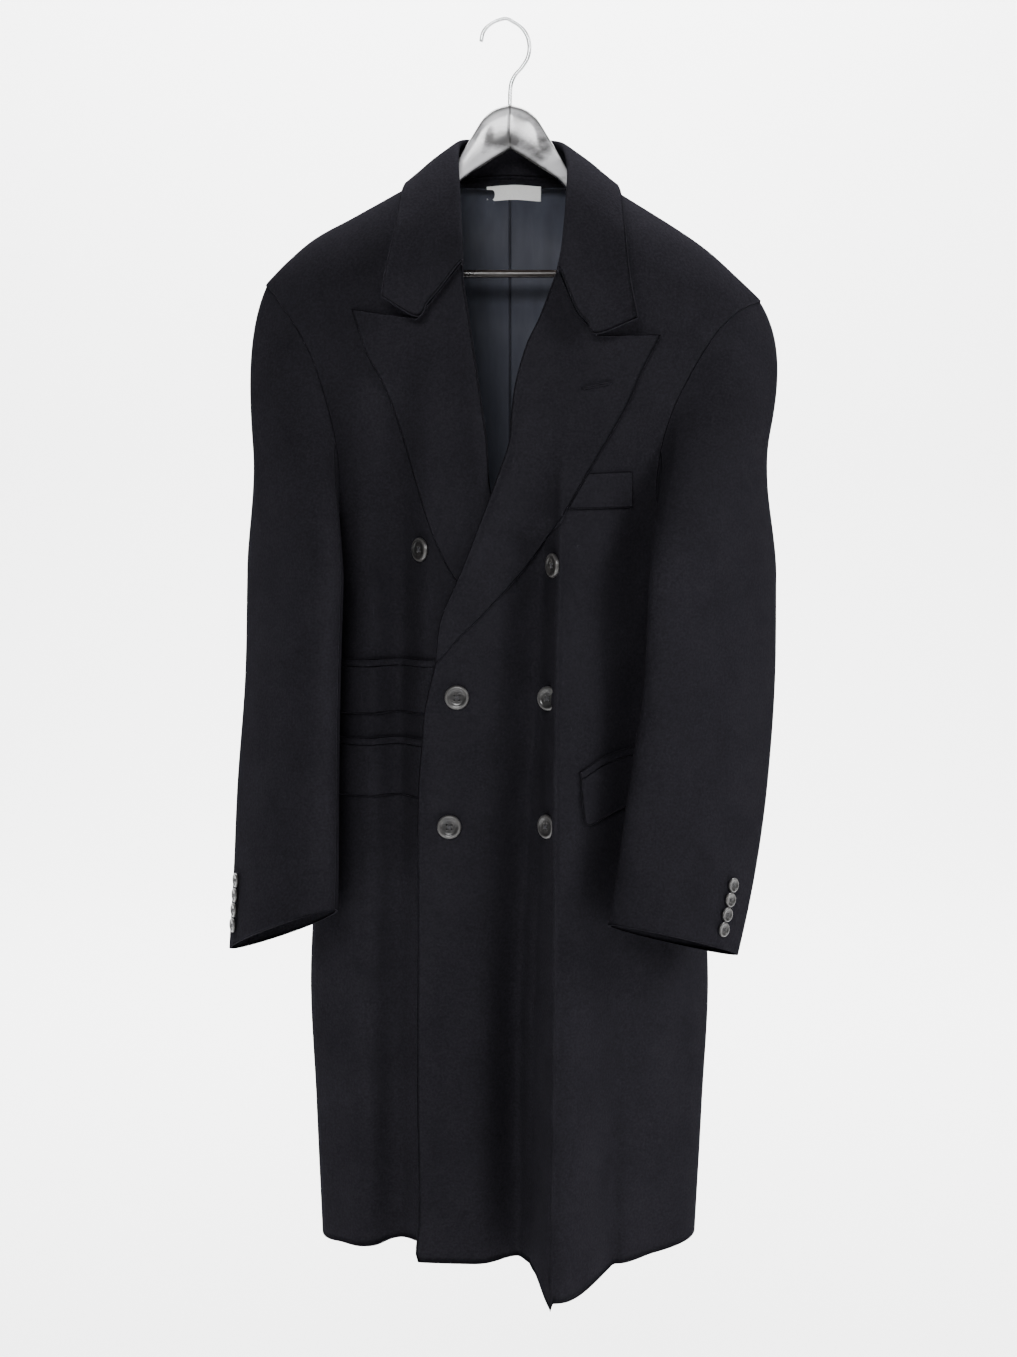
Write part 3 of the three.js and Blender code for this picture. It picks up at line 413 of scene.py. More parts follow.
def off_body(face, x, z, far):
    """Points a distance off the body form. They move along the unfolded form's own directions, and
    further on a fold's flank, so a wall keeps its thickness there and layers never cross."""
    n, smooth = outward(face, x, z), outward(face, x, z, folded=False)
    scale = 1 / np.maximum((n * smooth).sum(axis=-1), STEEPEST)
    base = np.stack([x, depth(face, x, z) + face * SEAM, z], axis=-1)
    return base + smooth * (far * scale)[..., None]


def on_body(face, flat, count, lift=0.0):
    """A flat grid set on the body form as the cloth layer of that number: its two faces. The outline
    is kept as seen from the front, so each point starts from where its own shift will bring it home."""
    x, z = flat[..., 0].copy(), flat[..., 1].copy()
    central = smoothstep(shoulder_height(x) - z, 10, 60) * smoothstep(half_width(z, x) - abs(x), 4, 30)
    for _ in range(3):
        moved = off_body(face, x, z, carried(count, x, z) + lift)
        x += central * (flat[..., 0] - moved[..., 0])
        z += central * (flat[..., 1] - moved[..., 2])
    far = carried(count, x, z) + lift
    return off_body(face, x, z, far), off_body(face, x, z, far + WALL)


def even_rows(face, flat, share=0.6):
    """Columns drawn partly together where the form is steep, so a fold's flank has its own points."""
    y = depth(face, flat[..., 0], flat[..., 1])
    step = np.hypot(np.diff(flat[..., 0], axis=1), share * np.diff(y, axis=1))
    s = np.concatenate([np.zeros((len(flat), 1)), np.cumsum(step, axis=1)], axis=1)
    out = flat.copy()
    for row, (at, line) in enumerate(zip(s, flat)):
        even = np.linspace(0, at[-1], len(at))
        out[row] = np.stack([np.interp(even, at, line[:, k]) for k in (0, 1)], axis=-1)
    return out


# %% [markdown]
# ## Wool, lining, horn, wood and steel
# Melton is fulled until its weave closes, so up close it is a dense nap of short fibres with a soft
# sheen at grazing angles and hardly any gloss. The lining is a twill satin, the buttons are polished
# horn with paler streaks and a highlight painted on the rim, and the hanger is dark lacquered wood with
# scuffs in a silvery glare painted on its front face.

# %%
def new_material(name, color, roughness, metallic=0.0):
    material = bpy.data.materials.new(name)
    material.use_nodes = True
    shader = material.node_tree.nodes["Principled BSDF"]
    shader.inputs["Base Color"].default_value = (*color, 1)
    shader.inputs["Roughness"].default_value = roughness
    shader.inputs["Metallic"].default_value = metallic
    return material, shader


def noise(material, scale, detail=4.0, stretch=(1, 1, 1)):
    """A noise texture on the object's own coordinates, stretched along the axes."""
    nodes, links = material.node_tree.nodes, material.node_tree.links
    place, mapping = nodes.new("ShaderNodeTexCoord"), nodes.new("ShaderNodeMapping")
    texture = nodes.new("ShaderNodeTexNoise")
    mapping.inputs["Scale"].default_value = stretch
    texture.inputs["Scale"].default_value = scale
    texture.inputs["Detail"].default_value = detail
    links.new(place.outputs["Object"], mapping.inputs["Vector"])
    links.new(mapping.outputs["Vector"], texture.inputs["Vector"])
    return texture.outputs["Fac"]


def ramp(material, fac, stops):
    """Colours at places along a value."""
    nodes, links = material.node_tree.nodes, material.node_tree.links
    node = nodes.new("ShaderNodeValToRGB")
    links.new(fac, node.inputs["Fac"])
    while len(node.color_ramp.elements) < len(stops):
        node.color_ramp.elements.new(0.5)
    for element, (place, color) in zip(node.color_ramp.elements, stops):
        element.position = place
        element.color = (*color, 1)
    return node.outputs["Color"]


def bump(material, shader, height, strength, distance, under=None):
    nodes, links = material.node_tree.nodes, material.node_tree.links
    node = nodes.new("ShaderNodeBump")
    node.inputs["Strength"].default_value = strength
    node.inputs["Distance"].default_value = distance
    links.new(height, node.inputs["Height"])
    if under is not None:
        links.new(under, node.inputs["Normal"])
    links.new(node.outputs["Normal"], shader.inputs["Normal"])
    return node.outputs["Normal"]


def own_value(material, name):
    """A value that the piece's own points carry."""
    node = material.node_tree.nodes.new("ShaderNodeAttribute")
    node.attribute_name = name
    return node.outputs["Fac"]


def mixed(material, a, b, kind, factor=1.0):
    """Two colours added or multiplied."""
    mix = material.node_tree.nodes.new("ShaderNodeMix")
    mix.data_type, mix.blend_type = "RGBA", kind
    mix.inputs["Factor"].default_value = factor
    material.node_tree.links.new(a, mix.inputs["A"])
    material.node_tree.links.new(b, mix.inputs["B"])
    return mix.outputs["Result"]


def paint(material, shader, tone, socket="Base Color"):
    material.node_tree.links.new(tone, shader.inputs[socket])


def grey(value):
    return (value, value, value)


# Tones as plain linear colours, the darker one first
WOOL_DARK, WOOL_PALE = (0.0107, 0.0103, 0.0127), (0.0128, 0.0123, 0.0152)
LINING_DARK, LINING_PALE = (0.035, 0.038, 0.052), (0.05, 0.054, 0.073)
LABEL_DARK, LABEL_PALE = (0.82, 0.82, 0.8), (0.93, 0.93, 0.92)
HORN_DARK, HORN_MIDDLE, HORN_STREAK = grey(0.007), (0.016, 0.015, 0.015), (0.04, 0.038, 0.036)
# A highlight painted on the buttons' raised rim
RIM_HIGHLIGHT = (0.045, 0.044, 0.043)
THREAD_DARK, THREAD_PALE = (0.02, 0.02, 0.023), (0.05, 0.05, 0.056)
BLACK_WOOD = (0.012, 0.011, 0.011), (0.03, 0.028, 0.027)
BROWN_WOOD = (0.012, 0.007, 0.006), (0.028, 0.016, 0.012)
# Painted glare: a silvery colour laid on the hanger's front face, and none on the bar
SILVER_GLARE, NO_GLARE = (0.62, 0.62, 0.64), grey(0.0)


def wool_material():
    material, shader = new_material("melton_wool", (0.012, 0.0118, 0.015), 0.92)
    shader.inputs["Sheen Weight"].default_value = 0.004
    shader.inputs["Sheen Roughness"].default_value = 0.45
    shader.inputs["Sheen Tint"].default_value = (0.5, 0.5, 0.58, 1)
    shader.inputs["Specular IOR Level"].default_value = 0.0
    nap = noise(material, 420, 6)
    mottle = ramp(material, noise(material, 17, 4), [(0.3, WOOL_DARK), (0.7, WOOL_PALE)])
    fibre = ramp(material, nap, [(0.35, grey(0.78)), (0.7, grey(1.28))])
    paint(material, shader, mixed(material, mottle, fibre, "MULTIPLY", 0.75))
    first = bump(material, shader, noise(material, 1300, 3), 0.5, 0.0005)
    bump(material, shader, nap, 0.35, 0.0012, first)
    return material


def lining_material():
    material, shader = new_material("lining_satin", (0.04, 0.043, 0.056), 0.55)
    shader.inputs["Sheen Weight"].default_value = 0.03
    shader.inputs["Specular IOR Level"].default_value = 0.22
    shader.inputs["Anisotropic"].default_value = 0.5
    streak = noise(material, 60, 3, (1, 1, 0.2))
    paint(material, shader, ramp(material, streak, [(0.3, LINING_DARK), (0.7, LINING_PALE)]))
    bump(material, shader, noise(material, 900, 2, (1, 1, 0.15)), 0.25, 0.0004)
    return material


def label_material():
    material, shader = new_material("woven_label", (0.78, 0.78, 0.75), 0.6)
    weave = noise(material, 700, 3, (1, 1, 3))
    paint(material, shader, ramp(material, weave, [(0.3, LABEL_DARK), (0.7, LABEL_PALE)]))
    bump(material, shader, noise(material, 1500, 2, (0.3, 1, 2)), 0.4, 0.0003)
    return material


def horn_material():
    """Dark horn with paler streaks, and a highlight painted on the raised rim from the piece's own rim
    attribute.
    """
    material, shader = new_material("dark_horn", (0.03, 0.029, 0.028), 0.34)
    streak = noise(material, 90, 6, (1, 1, 0.35))
    tone = ramp(material, streak, [(0.35, HORN_DARK), (0.55, HORN_MIDDLE), (0.72, HORN_STREAK)])
    rim_highlight = ramp(material, own_value(material, "rim"), [(0.0, grey(0)), (1.0, RIM_HIGHLIGHT)])
    paint(material, shader, mixed(material, tone, rim_highlight, "ADD"))
    shader.inputs["Coat Weight"].default_value = 0.12
    bump(material, shader, noise(material, 260, 3), 0.08, 0.0004)
    return material


def wood_material(name, grain_tones, glare, coat):
    """Lacquered wood. Its front face gets a painted silvery glare between dark scuffs, from the piece's
    face value.
    """
    material, shader = new_material(name, grain_tones[0], 0.24)
    grain = noise(material, 22, 8, (0.25, 3, 3))
    scuff = noise(material, 13, 9, (1, 1, 1.6))
    tone = ramp(material, grain, [(0.3, grain_tones[0]), (0.7, grain_tones[1])])
    # Where the painted glare shows between the dark scuffs
    glare_among_scuffs = ramp(material, scuff, [(0.36, grey(0.1)), (0.47, grey(0.8)), (0.62, grey(1))])
    face = ramp(material, own_value(material, "face"), [(0.0, grey(0)), (1.0, glare)])
    rough = ramp(material, scuff, [(0.4, grey(0.2)), (0.62, grey(0.5))])
    paint(material, shader, mixed(material, tone, mixed(material, glare_among_scuffs, face, "MULTIPLY"), "ADD"))
    paint(material, shader, rough, "Roughness")
    shader.inputs["Coat Weight"].default_value = coat
    shader.inputs["Coat Roughness"].default_value = 0.12
    bump(material, shader, grain, 0.12, 0.0006)
    return material


def thread_material():
    material, shader = new_material("twisted_thread", (0.03, 0.03, 0.034), 0.8)
    twist = noise(material, 1600, 2, (1, 1, 3))
    paint(material, shader, ramp(material, twist, [(0.3, THREAD_DARK), (0.7, THREAD_PALE)]))
    return material


def steel_material():
    material, shader = new_material("plated_wire", (0.6, 0.61, 0.62), 0.24, 1.0)
    drawn = noise(material, 400, 3, (1, 1, 4))
    paint(material, shader, ramp(material, drawn, [(0.3, grey(0.18)), (0.7, grey(0.34))]), "Roughness")
    return material


WOOL, LINING, LABEL = wool_material(), lining_material(), label_material()
HORN, STEEL, THREAD = horn_material(), steel_material(), thread_material()
WOOD = wood_material("lacquered_wood", BLACK_WOOD, SILVER_GLARE, 0.6)
BAR_WOOD = wood_material("brown_bar_wood", BROWN_WOOD, NO_GLARE, 0.35)


def give_value(piece, name, values):
    """A value from 0 to 1 on each of the piece's points, for its material to read."""
    attribute = piece.data.attributes.new(name, "FLOAT", "POINT")
    attribute.data.foreach_set("value", np.clip(np.asarray(values, np.float32).ravel(), 0, 1))


def finish_piece(piece, material, slot, *nodes):
    """A piece's material, and the nodes that it stands for, if any; the slot is not used."""
    piece.data.materials.append(material)
    if nodes:
        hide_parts(*nodes)
    return piece


def wool_piece(node, inner, outer, **shape):
    """A wool shell that stands for a node. Prints its cloth area."""
    piece = finish_piece(shell(node + "_cloth", inner, outer, **shape), WOOL, "overcoat_cloth", node)
    print(piece.name, "cloth area", round(cloth_area(outer), 4), "square metres")
    return piece


def cloth_area(grid):
    """Area of a grid of points in square metres."""
    a, b = np.diff(grid, axis=1)[:-1], np.diff(grid, axis=0)[:, :-1]
    return float(np.linalg.norm(np.cross(a, b), axis=-1).sum()) / 1e6


# %% [markdown]
# ## Fronts and backs
# Each front is one length of cloth from the shoulder seam to the hem. Its four edges are the shoulder,
# the armhole and side seam, the hem, and the neck, roll line and front edge. The back is two halves
# with a seam down the middle.

# %%
ARMHOLE = {
    "left": {
        "front": [
            (-247, -279), (-232, -296), (-214, -322), (-197, -353), (-182, -395), (-171, -440),
            (-167, -485), (-169, -515),
        ],
        "back": [
            (-247, -279), (-235, -298), (-219, -328), (-205, -365), (-194, -415), (-186, -465),
            (-181, -505),
        ],
    },
    "right": {
        "front": [
            (254, -295), (230, -306), (208, -326), (192, -348), (176, -375), (160, -407),
            (148, -445), (143, -490), (150, -517),
        ],
        "back": [
            (254, -295), (240, -312), (222, -340), (207, -375), (195, -420), (186, -468),
            (180, -506),
        ],
    },
}
ARMHOLE_FOOT = {"left": (-169, -513), "right": (147, -505)}
ROLL_LINE = {
    "left": [
        (-47, -262), (-46, -281), (-37, -341), (-29, -396), (-23, -440), (-21, -478), (-14, -514),
        (0, -556), (64, -654),
    ],
    "right": [
        (47, -270), (29, -318), (17, -343), (6, -381), (2, -411), (0, -437), (-8, -462),
        (-28, -515), (-47, -564), (-67, -612), (-72, -653),
    ],
}
LAPEL_EDGE = {
    "left": [
        (-156, -308), (-151, -322), (-140, -352), (-126, -377), (-116, -400), (-101, -446),
        (-84, -502), (-70, -540), (-51, -574), (0, -622), (58, -656),
    ],
    "right": [
        (148, -333), (131, -364), (112, -405), (74, -469), (49, -511), (14, -560), (-26, -604),
        (-54, -632), (-70, -651),
    ],
}
GORGE = {
    "left": [(-47, -262), (-69, -290), (-91, -318), (-156, -308)],
    "right": [(47, -270), (64, -310), (84, -335), (148, -333)],
}
NECKLINE = {
    "left": [(-77, -168), (-66, -203), (-54, -240), (-47, -262)],
    "right": [(78, -168), (70, -203), (58, -240), (47, -270)],
}
TOP_EDGE = [
    (-72, -653), (-83, -701), (-86, -734), (-90, -789), (-91, -888), (-93, -1090), (-92, -1225),
    (-95, -1262), (-93, HEM),
]
HIDDEN_EDGE = [(64, -654), (78, -700), (78, -1250)]
SHOULDER_TIP, BACK_CORNER = {"left": -247, "right": 254}, 3
SIDE_HEM = {"left": -1264, "right": -1262}
HEM_CORNER = {side: (SIGN[side] * float(seam_width(z, SIGN[side])), z) for side, z in SIDE_HEM.items()}
UNDER_HEM = [(78, -1250), (-100, -1250), (-160, -1258), HEM_CORNER["left"]]
TOP_HEM = [(-93, HEM), (118, HEM), (150, -1267), HEM_CORNER["right"]]
BACK_HEM = {side: [(0, HEM), (SIGN[side] * 100, HEM), HEM_CORNER[side]] for side in SIGN}
BACK_NECK = [
    (-77, -168), (-66, -171), (-52, -172), (-36, -170), (0, -167), (36, -170), (52, -172),
    (66, -171), (77, -168),
]


def shoulder_line(start, end):
    x = np.linspace(start, end, 60)
    return np.stack([x, shoulder_height(x)], axis=1)


def side_seam(sign, bottom):
    z = np.linspace(UNDERARM, bottom, 60)
    return np.stack([sign * seam_width(z, sign), z], axis=1)


def gathered(count):
    """Parameters from 0 to 1 that draw together at the end, where the form turns sharply."""
    t = np.linspace(0, 1, count)
    return 0.5 * t + 0.5 * np.sin(t * np.pi / 2)


FRONT_GRID, BACK_GRID = (230, 120), (170, 80)
# Rows draw together towards the shoulder seam, where the form turns over
ROW_GATHER = 1.6


def panel(node, face, layer, edges, grid):
    """The grid between four edges is drawn in the flat, kept inside the form and set on the body."""
    v = np.linspace(0, 1, grid[0]) ** ROW_GATHER
    flat = blend_four(*edges, gathered(grid[1]), v)
    half = half_width(section_level(flat[..., 0], flat[..., 1]), flat[..., 0])
    flat[..., 0] = np.clip(flat[..., 0], -half, half)
    flat[..., 1] = np.minimum(flat[..., 1], shoulder_height(flat[..., 0]))
    return wool_piece(node, *on_body(face, even_rows(face, flat), layer))


def front(side, face_edge, hem, layer):
    sign, bottom_side = SIGN[side], hem[-1][1]
    arm = [*ARMHOLE[side]["front"][:-1], ARMHOLE_FOOT[side]]
    underarm = (sign * float(seam_width(UNDERARM, sign)), UNDERARM)
    outer_edge = joined(arm, [arm[-1], underarm], side_seam(sign, bottom_side), count=400)
    outer_edge[-1, 1] = bottom_side
    top = shoulder_line(NECKLINE[side][0][0], SHOULDER_TIP[side])
    hem = smooth_line(hem, 300, straight=True)
    return panel("front_" + side, -1, layer, (top, hem, face_edge, outer_edge), FRONT_GRID)


left_edge = joined(NECKLINE["left"], ROLL_LINE["left"], HIDDEN_EDGE, count=500)
front_left = front("left", left_edge, UNDER_HEM, 0)
right_edge = joined(NECKLINE["right"], ROLL_LINE["right"], TOP_EDGE, count=500)
front_right = front("right", right_edge, TOP_HEM, 2)


def back(side):
    sign, hem = SIGN[side], BACK_HEM[side]
    arm = ARMHOLE[side]["back"]
    corner = (arm[-1][0] + sign * BACK_CORNER, UNDERARM)
    outer_edge = joined(arm, [arm[-1], corner], side_seam(sign, hem[-1][1]), count=400)
    neck = [p for p in BACK_NECK if p[0] * sign >= 0][::sign]
    top = joined(neck, shoulder_line(neck[-1][0], SHOULDER_TIP[side]), count=300)
    middle = np.array([(sign * SEAM, neck[0][1]), (sign * SEAM, HEM)])
    return panel("back_" + side, 1, 0, (top, smooth_line(hem, 300), middle, outer_edge), BACK_GRID)


back_left, back_right = back("left"), back("right")

# %% [markdown]
# ## Lapels
# A peak lapel is the facing turned out over the roll line. It springs off the chest along that line and
# settles towards its outer edge, and its tip points up past the notch under the collar.

# %%
LAPEL_GRID, LAPEL_OFF, LAPEL_SPRING = (150, 46), 0.3, 5.0
# The right lapel bridges the folds below it: the spreads of its two easings, in columns
BRIDGE_WIDE, BRIDGE_FINE = 11, 5
BUTTONHOLE = [(70, -386), (100, -380)]
BUTTONHOLE_HALF, BUTTONHOLE_LIFT, BEAD = 2.0, 2.6, 0.7


def eased(y, spread):
    """Each row smoothed across by a bell of the given spread in columns, ends held."""
    reach = np.arange(-3 * spread, 3 * spread + 1)
    bell = np.exp(-0.5 * (reach / spread) ** 2)
    padded = np.pad(y, ((0, 0), (3 * spread, 3 * spread)), mode="edge")
    return np.stack([np.convolve(row, bell / bell.sum(), mode="valid") for row in padded])


def lapel(side, layer):
    """The lapel's outline blended in the flat, with a bell of spring beside the roll line."""
    v, u = (np.linspace(0, 1, count) for count in LAPEL_GRID)
    roll, edge = smooth_line(ROLL_LINE[side], 300), smooth_line(LAPEL_EDGE[side], 300)
    bottom = np.array([ROLL_LINE[side][-1], LAPEL_EDGE[side][-1]], float)
    flat = blend_four(smooth_line(GORGE[side], 300, straight=True), bottom, roll, edge, u, v)
    fade = np.sin(np.pi * np.clip(v * 0.96 + 0.04, 0, 1))[:, None]
    spring = LAPEL_SPRING * np.exp(-(((u - 0.12) / 0.2) ** 2)) * fade
    inner, outer = on_body(-1, flat, layer, LAPEL_OFF + spring)
    if side == "right":
        bridged = eased(np.minimum(inner[..., 1], eased(inner[..., 1], BRIDGE_WIDE)), BRIDGE_FINE)
        move = np.minimum(bridged - inner[..., 1], 0)
        inner[..., 1] += move
        outer[..., 1] += move
    return wool_piece("lapel_" + side, inner, outer)


def buttonhole(start, end, layer):
    """Worked thread round a slit: a low bead along both lips, set on the lapel's face."""
    t, w = np.linspace(0, 1, 90), np.linspace(-1, 1, 25)
    start, end = np.array(start, float), np.array(end, float)
    side = np.array([start[1] - end[1], end[0] - start[0]]) / np.linalg.norm(end - start)
    wide = BUTTONHOLE_HALF * np.sqrt(np.maximum(1 - (2 * t - 1) ** 6, 0.02))
    flat = start + (end - start) * t[:, None, None] + side * (w * wide[:, None])[..., None]
    lip, twist = np.sin(np.pi * np.clip(abs(w) * 1.15 - 0.1, 0, 1)), 0.12 * np.sin(t * 190)
    bead = np.maximum(lip, 0) + twist[:, None]
    inner, outer = on_body(-1, flat, layer, BUTTONHOLE_LIFT + 0 * t[:, None] * w)
    _, raised = on_body(-1, flat, layer, BUTTONHOLE_LIFT + BEAD * bead * (1 - w**8))
    return finish_piece(shell("lapel_buttonhole", inner, raised, bulge=0.05), WOOL, "overcoat_cloth")


lapel_left, lapel_right = lapel("left", 1), lapel("right", 3)
buttonhole(*BUTTONHOLE, 3)

# %% [markdown]
# ## Collar
# The collar is cut in one with its stand and pressed over a fold. Its stations run from one front end
# round the neck to the other, and each has the bottom of the stand, the fold and the leaf's edge.

# %%
COLLAR_COLUMNS = ("fx", "fy", "fz", "ex", "ey", "ez", "sx", "sy", "sz")
COLLAR = [
    (-47, -92, -263, -125, -102, -297, -50, -84, -257),
    (-48, -82, -236, -121, -90, -270, -55, -70, -236),
    (-51, -52, -186, -111, -62, -220, -61, -38, -205),
    (-53, -18, -152, -106, -24, -184, -67, -10, -177),
    (-49, 20, -134, -98, 32, -175, -66, 25, -168.5),
    (-27, 42, -131, -58, 60, -180, -37, 41.5, -166.5),
    (0, 47, -131, 0, 70, -186, 0, 45, -164.7),
    (27, 42, -131, 58, 60, -180, 37, 41.5, -166.5),
    (51, 20, -136, 101, 32, -177, 66, 25, -168.5),
    (58, -18, -156, 109, -24, -186, 69, -10, -179),
    (57, -55, -190, 112, -64, -223, 58.5, -36, -203),
    (52, -84, -242, 117, -92, -279, 56, -70, -240),
    (47, -95, -270, 124, -106, -318, 49, -85, -262),
]
# Points across the leaf: share of the way from fold to edge and bulge, then at each front end the
# share and drop that take them to the seam with the lapel, with the notch's corner last
LEAF = [
    (0.14, 4.2, (0.28, 17), (0.22, 28)),
    (0.4, 5, (0.42, 25.5), (0.36, 34.5)),
    (0.7, 2.5, (0.56, 34), (0.48, 40)),
]
NOTCH_REACH, NOTCH_SLOPE = 0.17, 0.12


def collar(count_along=190, count_across=48):
    """Rows of stand, fold and leaf interpolated round the neck, with the leaf bowed over the fold."""
    rows = [dict(zip(("at", *COLLAR_COLUMNS), (i, *row))) for i, row in enumerate(COLLAR)]
    at = np.linspace(0, len(rows) - 1, count_along)
    lines = [np.stack([along(rows, "at", at, part + k) for k in "xyz"], axis=1) for part in "fes"]
    fold, edge, stand = lines
    out = edge - fold
    out[:, 2] = 0
    out /= np.linalg.norm(out, axis=1, keepdims=True)
    line = [stand, (stand + fold) / 2, fold - 0.5 * out + (0, 0, -3), fold + 2.2 * out]
    t = at[:, None] / (len(rows) - 1)
    end = np.maximum(1 - np.minimum(t, 1 - t) / NOTCH_REACH, 0) ** 2
    for share, bow, *ends in LEAF:
        end_share, drop = (np.where(t < 0.5, ends[0][k], ends[1][k]) for k in (0, 1))
        share = share + (end_share - share) * end
        leaf = fold + (edge - fold) * share + bow * (1 - 0.8 * end) * out
        line.append(leaf + drop * end * np.array((0, -NOTCH_SLOPE, -1)))
    line.append(edge)
    line = np.stack(line, axis=1)
    fine = np.stack([across(row, count_across) for row in line])
    n = normals_of(fine)
    return wool_piece("collar", fine - n * WALL / 2, fine + n * WALL / 2)


def across(points, count):
    """A smooth curve through a few points, evenly stepped between them."""
    rows = [dict(s=float(s), x=x, y=y, z=z) for s, (x, y, z) in enumerate(points)]
    steps = np.linspace(0, len(rows) - 1.0, count)
    return np.stack([along(rows, "s", steps, k) for k in "xyz"], axis=1)


collar_cloth = collar()

# %% [markdown]
# ## Sleeves
# A two-piece sleeve hangs from the armhole with a slight forward bend. The top sleeve is the outer part
# and the under sleeve is the part by the body. Its head stands out over the shoulder's end, and the arm
# falls in a flattened tube that turns towards the front.

# %%
SLEEVE_COLUMNS = ("z", "x", "y", "wide", "deep", "turn", "slanted")
SLEEVES = {
    "left": {
        "slant": (0.3, -0.28),
        "swell": 60,
        "rows": [
            (-575, -217.5, -42, 34, 99, 27, 0),
            (-680, -220.5, -46, 35, 92.5, 28, 0),
            (-780, -225, -56, 37, 90, 31, 0.2),
            (-860, -226, -74, 40, 81, 35, 0.6),
            (-923, -227, -94, 44, 73, 39, 1),
        ],
    },
    "right": {
        "slant": (-0.2, -0.28),
        "swell": 100,
        "rows": [
            (-575, 203.5, -70, 34, 104, 38, 0),
            (-680, 200.8, -68, 33, 103, 41, 0),
            (-780, 188.7, -90, 34, 95.5, 47, 0.2),
            (-860, 175, -118, 36, 82.5, 54, 0.6),
            (-923, 160, -146, 40, 72, 60, 1),
        ],
    },
}
CLEAR_OF_BODY = 5.0
UNDERARM_OUT, UNDERARM_RISE = 18, 10
# Rows in the head and the arm, columns round; the head's rows draw together towards the armhole
HEAD_ROWS, ARM_ROWS, AROUND, HEAD_GATHER = 60, 110, 120, 1.25
# How the cloth leaves the armhole: outwards all round, more at the top, less in front, and downwards
LEAVE_OUT, LEAVE_TOP, LEAVE_FRONT, LEAVE_ASIDE = 36, 12, 32, 30
LEAVE_DOWN, ARRIVE_DOWN = 0.75, 0.9
# The two seams, in parts of the way round
SEAM_FRONT, SEAM_BACK = 8 / 26, 19 / 26


def clear_of_body(side, p):
    """Points that would touch the body are moved in front of it."""
    over = layer_fade(p[..., 0], p[..., 2]) if side == "right" else 0
    layers = WALL + LAYER + 2 * LAYER * over
    half = half_width(p[..., 2], p[..., 0])
    near = (p[..., 2] < UNDERARM - 2) & (abs(p[..., 0]) < half + CLEAR_OF_BODY)
    x = np.sign(p[..., 0]) * np.minimum(abs(p[..., 0]), half - 0.5)
    limit = depth(-1, x, p[..., 2]) - layers - CLEAR_OF_BODY
    p[..., 1] = np.where(near & (p[..., 1] > limit), limit, p[..., 1])
    return p


def sleeve_section(side, z, angle):
    """A flattened oval at each height, turned about the vertical, with the cuff's slant."""
    spec = SLEEVES[side]
    rows = [dict(zip(SLEEVE_COLUMNS, row)) for row in spec["rows"]]
    value = {name: along(rows, "z", z, name) for name in SLEEVE_COLUMNS[1:]}
    turn, sign = np.radians(value["turn"]), SIGN[side]
    length, out = value["deep"] * np.sin(angle), value["wide"] * np.cos(angle)
    x = value["x"] + sign * (-length * np.sin(turn) + out * np.cos(turn))
    y = value["y"] - length * np.cos(turn) - out * np.sin(turn)
    slant_x, slant_y = spec["slant"]
    lift = value["slanted"] * (slant_x * (x - value["x"]) + slant_y * (y - value["y"]))
    return np.stack([x, y, z + lift], axis=-1)


def armhole_loop(side, angle):
    """Down the front of the armhole for half a turn, then up its back, on the body form."""
    sign, turn = SIGN[side], angle / np.pi
    bottom = (ARMHOLE[side]["back"][-1][0] + sign * UNDERARM_OUT, UNDERARM + UNDERARM_RISE)
    at = np.where(turn <= 1, turn, 2 - turn)
    faces = [[*ARMHOLE[side][face], bottom] for face in ("front", "back")]
    lines = [smooth_line(face, 400, straight=True) for face in faces]
    x, z = np.where((turn <= 1)[:, None], *(at_shares(line, at) for line in lines)).T
    y = np.where(turn <= 1, depth(-1, x, z) - WALL / 2, depth(1, x, z) + WALL / 2)
    return np.stack([x + sign * 0.7, y, z], axis=-1)


def sleeve_grid(side):
    """A head of smooth curves from the armhole to the arm, then the arm's sections to the cuff."""
    angle, spec = np.linspace(0, 2 * np.pi, AROUND + 1)[:-1], SLEEVES[side]
    top_z, cuff_z = float(spec["rows"][0][0]), spec["rows"][-1][0]
    start = armhole_loop(side, angle)
    end = clear_of_body(side, sleeve_section(side, top_z + 0 * angle, angle))
    reach = np.linalg.norm(end - start, axis=1)
    top = 0.5 + 0.5 * np.cos(angle)
    out = LEAVE_OUT + LEAVE_TOP * top - LEAVE_FRONT * np.maximum(np.sin(angle), 0)
    out = out + spec["swell"] * top**2
    leave = [SIGN[side] * out, -LEAVE_ASIDE * np.sin(angle), -LEAVE_DOWN * reach * top]
    leave = np.stack(leave, axis=1)
    arrive = np.stack([0 * reach, 0 * reach, -ARRIVE_DOWN * reach], axis=1)
    t = (np.arange(HEAD_ROWS) / HEAD_ROWS)[:, None, None] ** HEAD_GATHER
    rows = (2 * t**3 - 3 * t**2 + 1) * start + (t**3 - 2 * t**2 + t) * leave
    rows = rows + (3 * t**2 - 2 * t**3) * end + (t**3 - t**2) * arrive
    z = np.linspace(top_z, cuff_z, ARM_ROWS)[:, None] + 0 * angle
    arm = sleeve_section(side, z, angle + 0 * z)
    return np.concatenate([clear_of_body(side, rows), clear_of_body(side, arm)])


def sleeve_part(node, start, end, grid):
    """A stretch of the sleeve's grid between two columns, walled towards the inside."""
    closed = np.concatenate([grid, grid, grid[:, :1]], axis=1)
    n = normals_of(closed)[:, start : end + 1]
    part = closed[:, start : end + 1].copy()
    for edge, inward in ((0, 1), (-1, -2)):
        step = part[:, inward] - part[:, edge]
        step /= np.maximum(np.linalg.norm(step, axis=1, keepdims=True), 1e-9)
        part[:, edge] += step * SEAM
    centre = grid.mean(axis=1, keepdims=True)
    n = n * -np.sign(((part - centre) * n).sum(axis=-1, keepdims=True))
    n[0, :, 0] = 0
    n[0] /= np.linalg.norm(n[0], axis=-1, keepdims=True)
    return wool_piece(node, part + n * WALL, part, bulge=0.1)


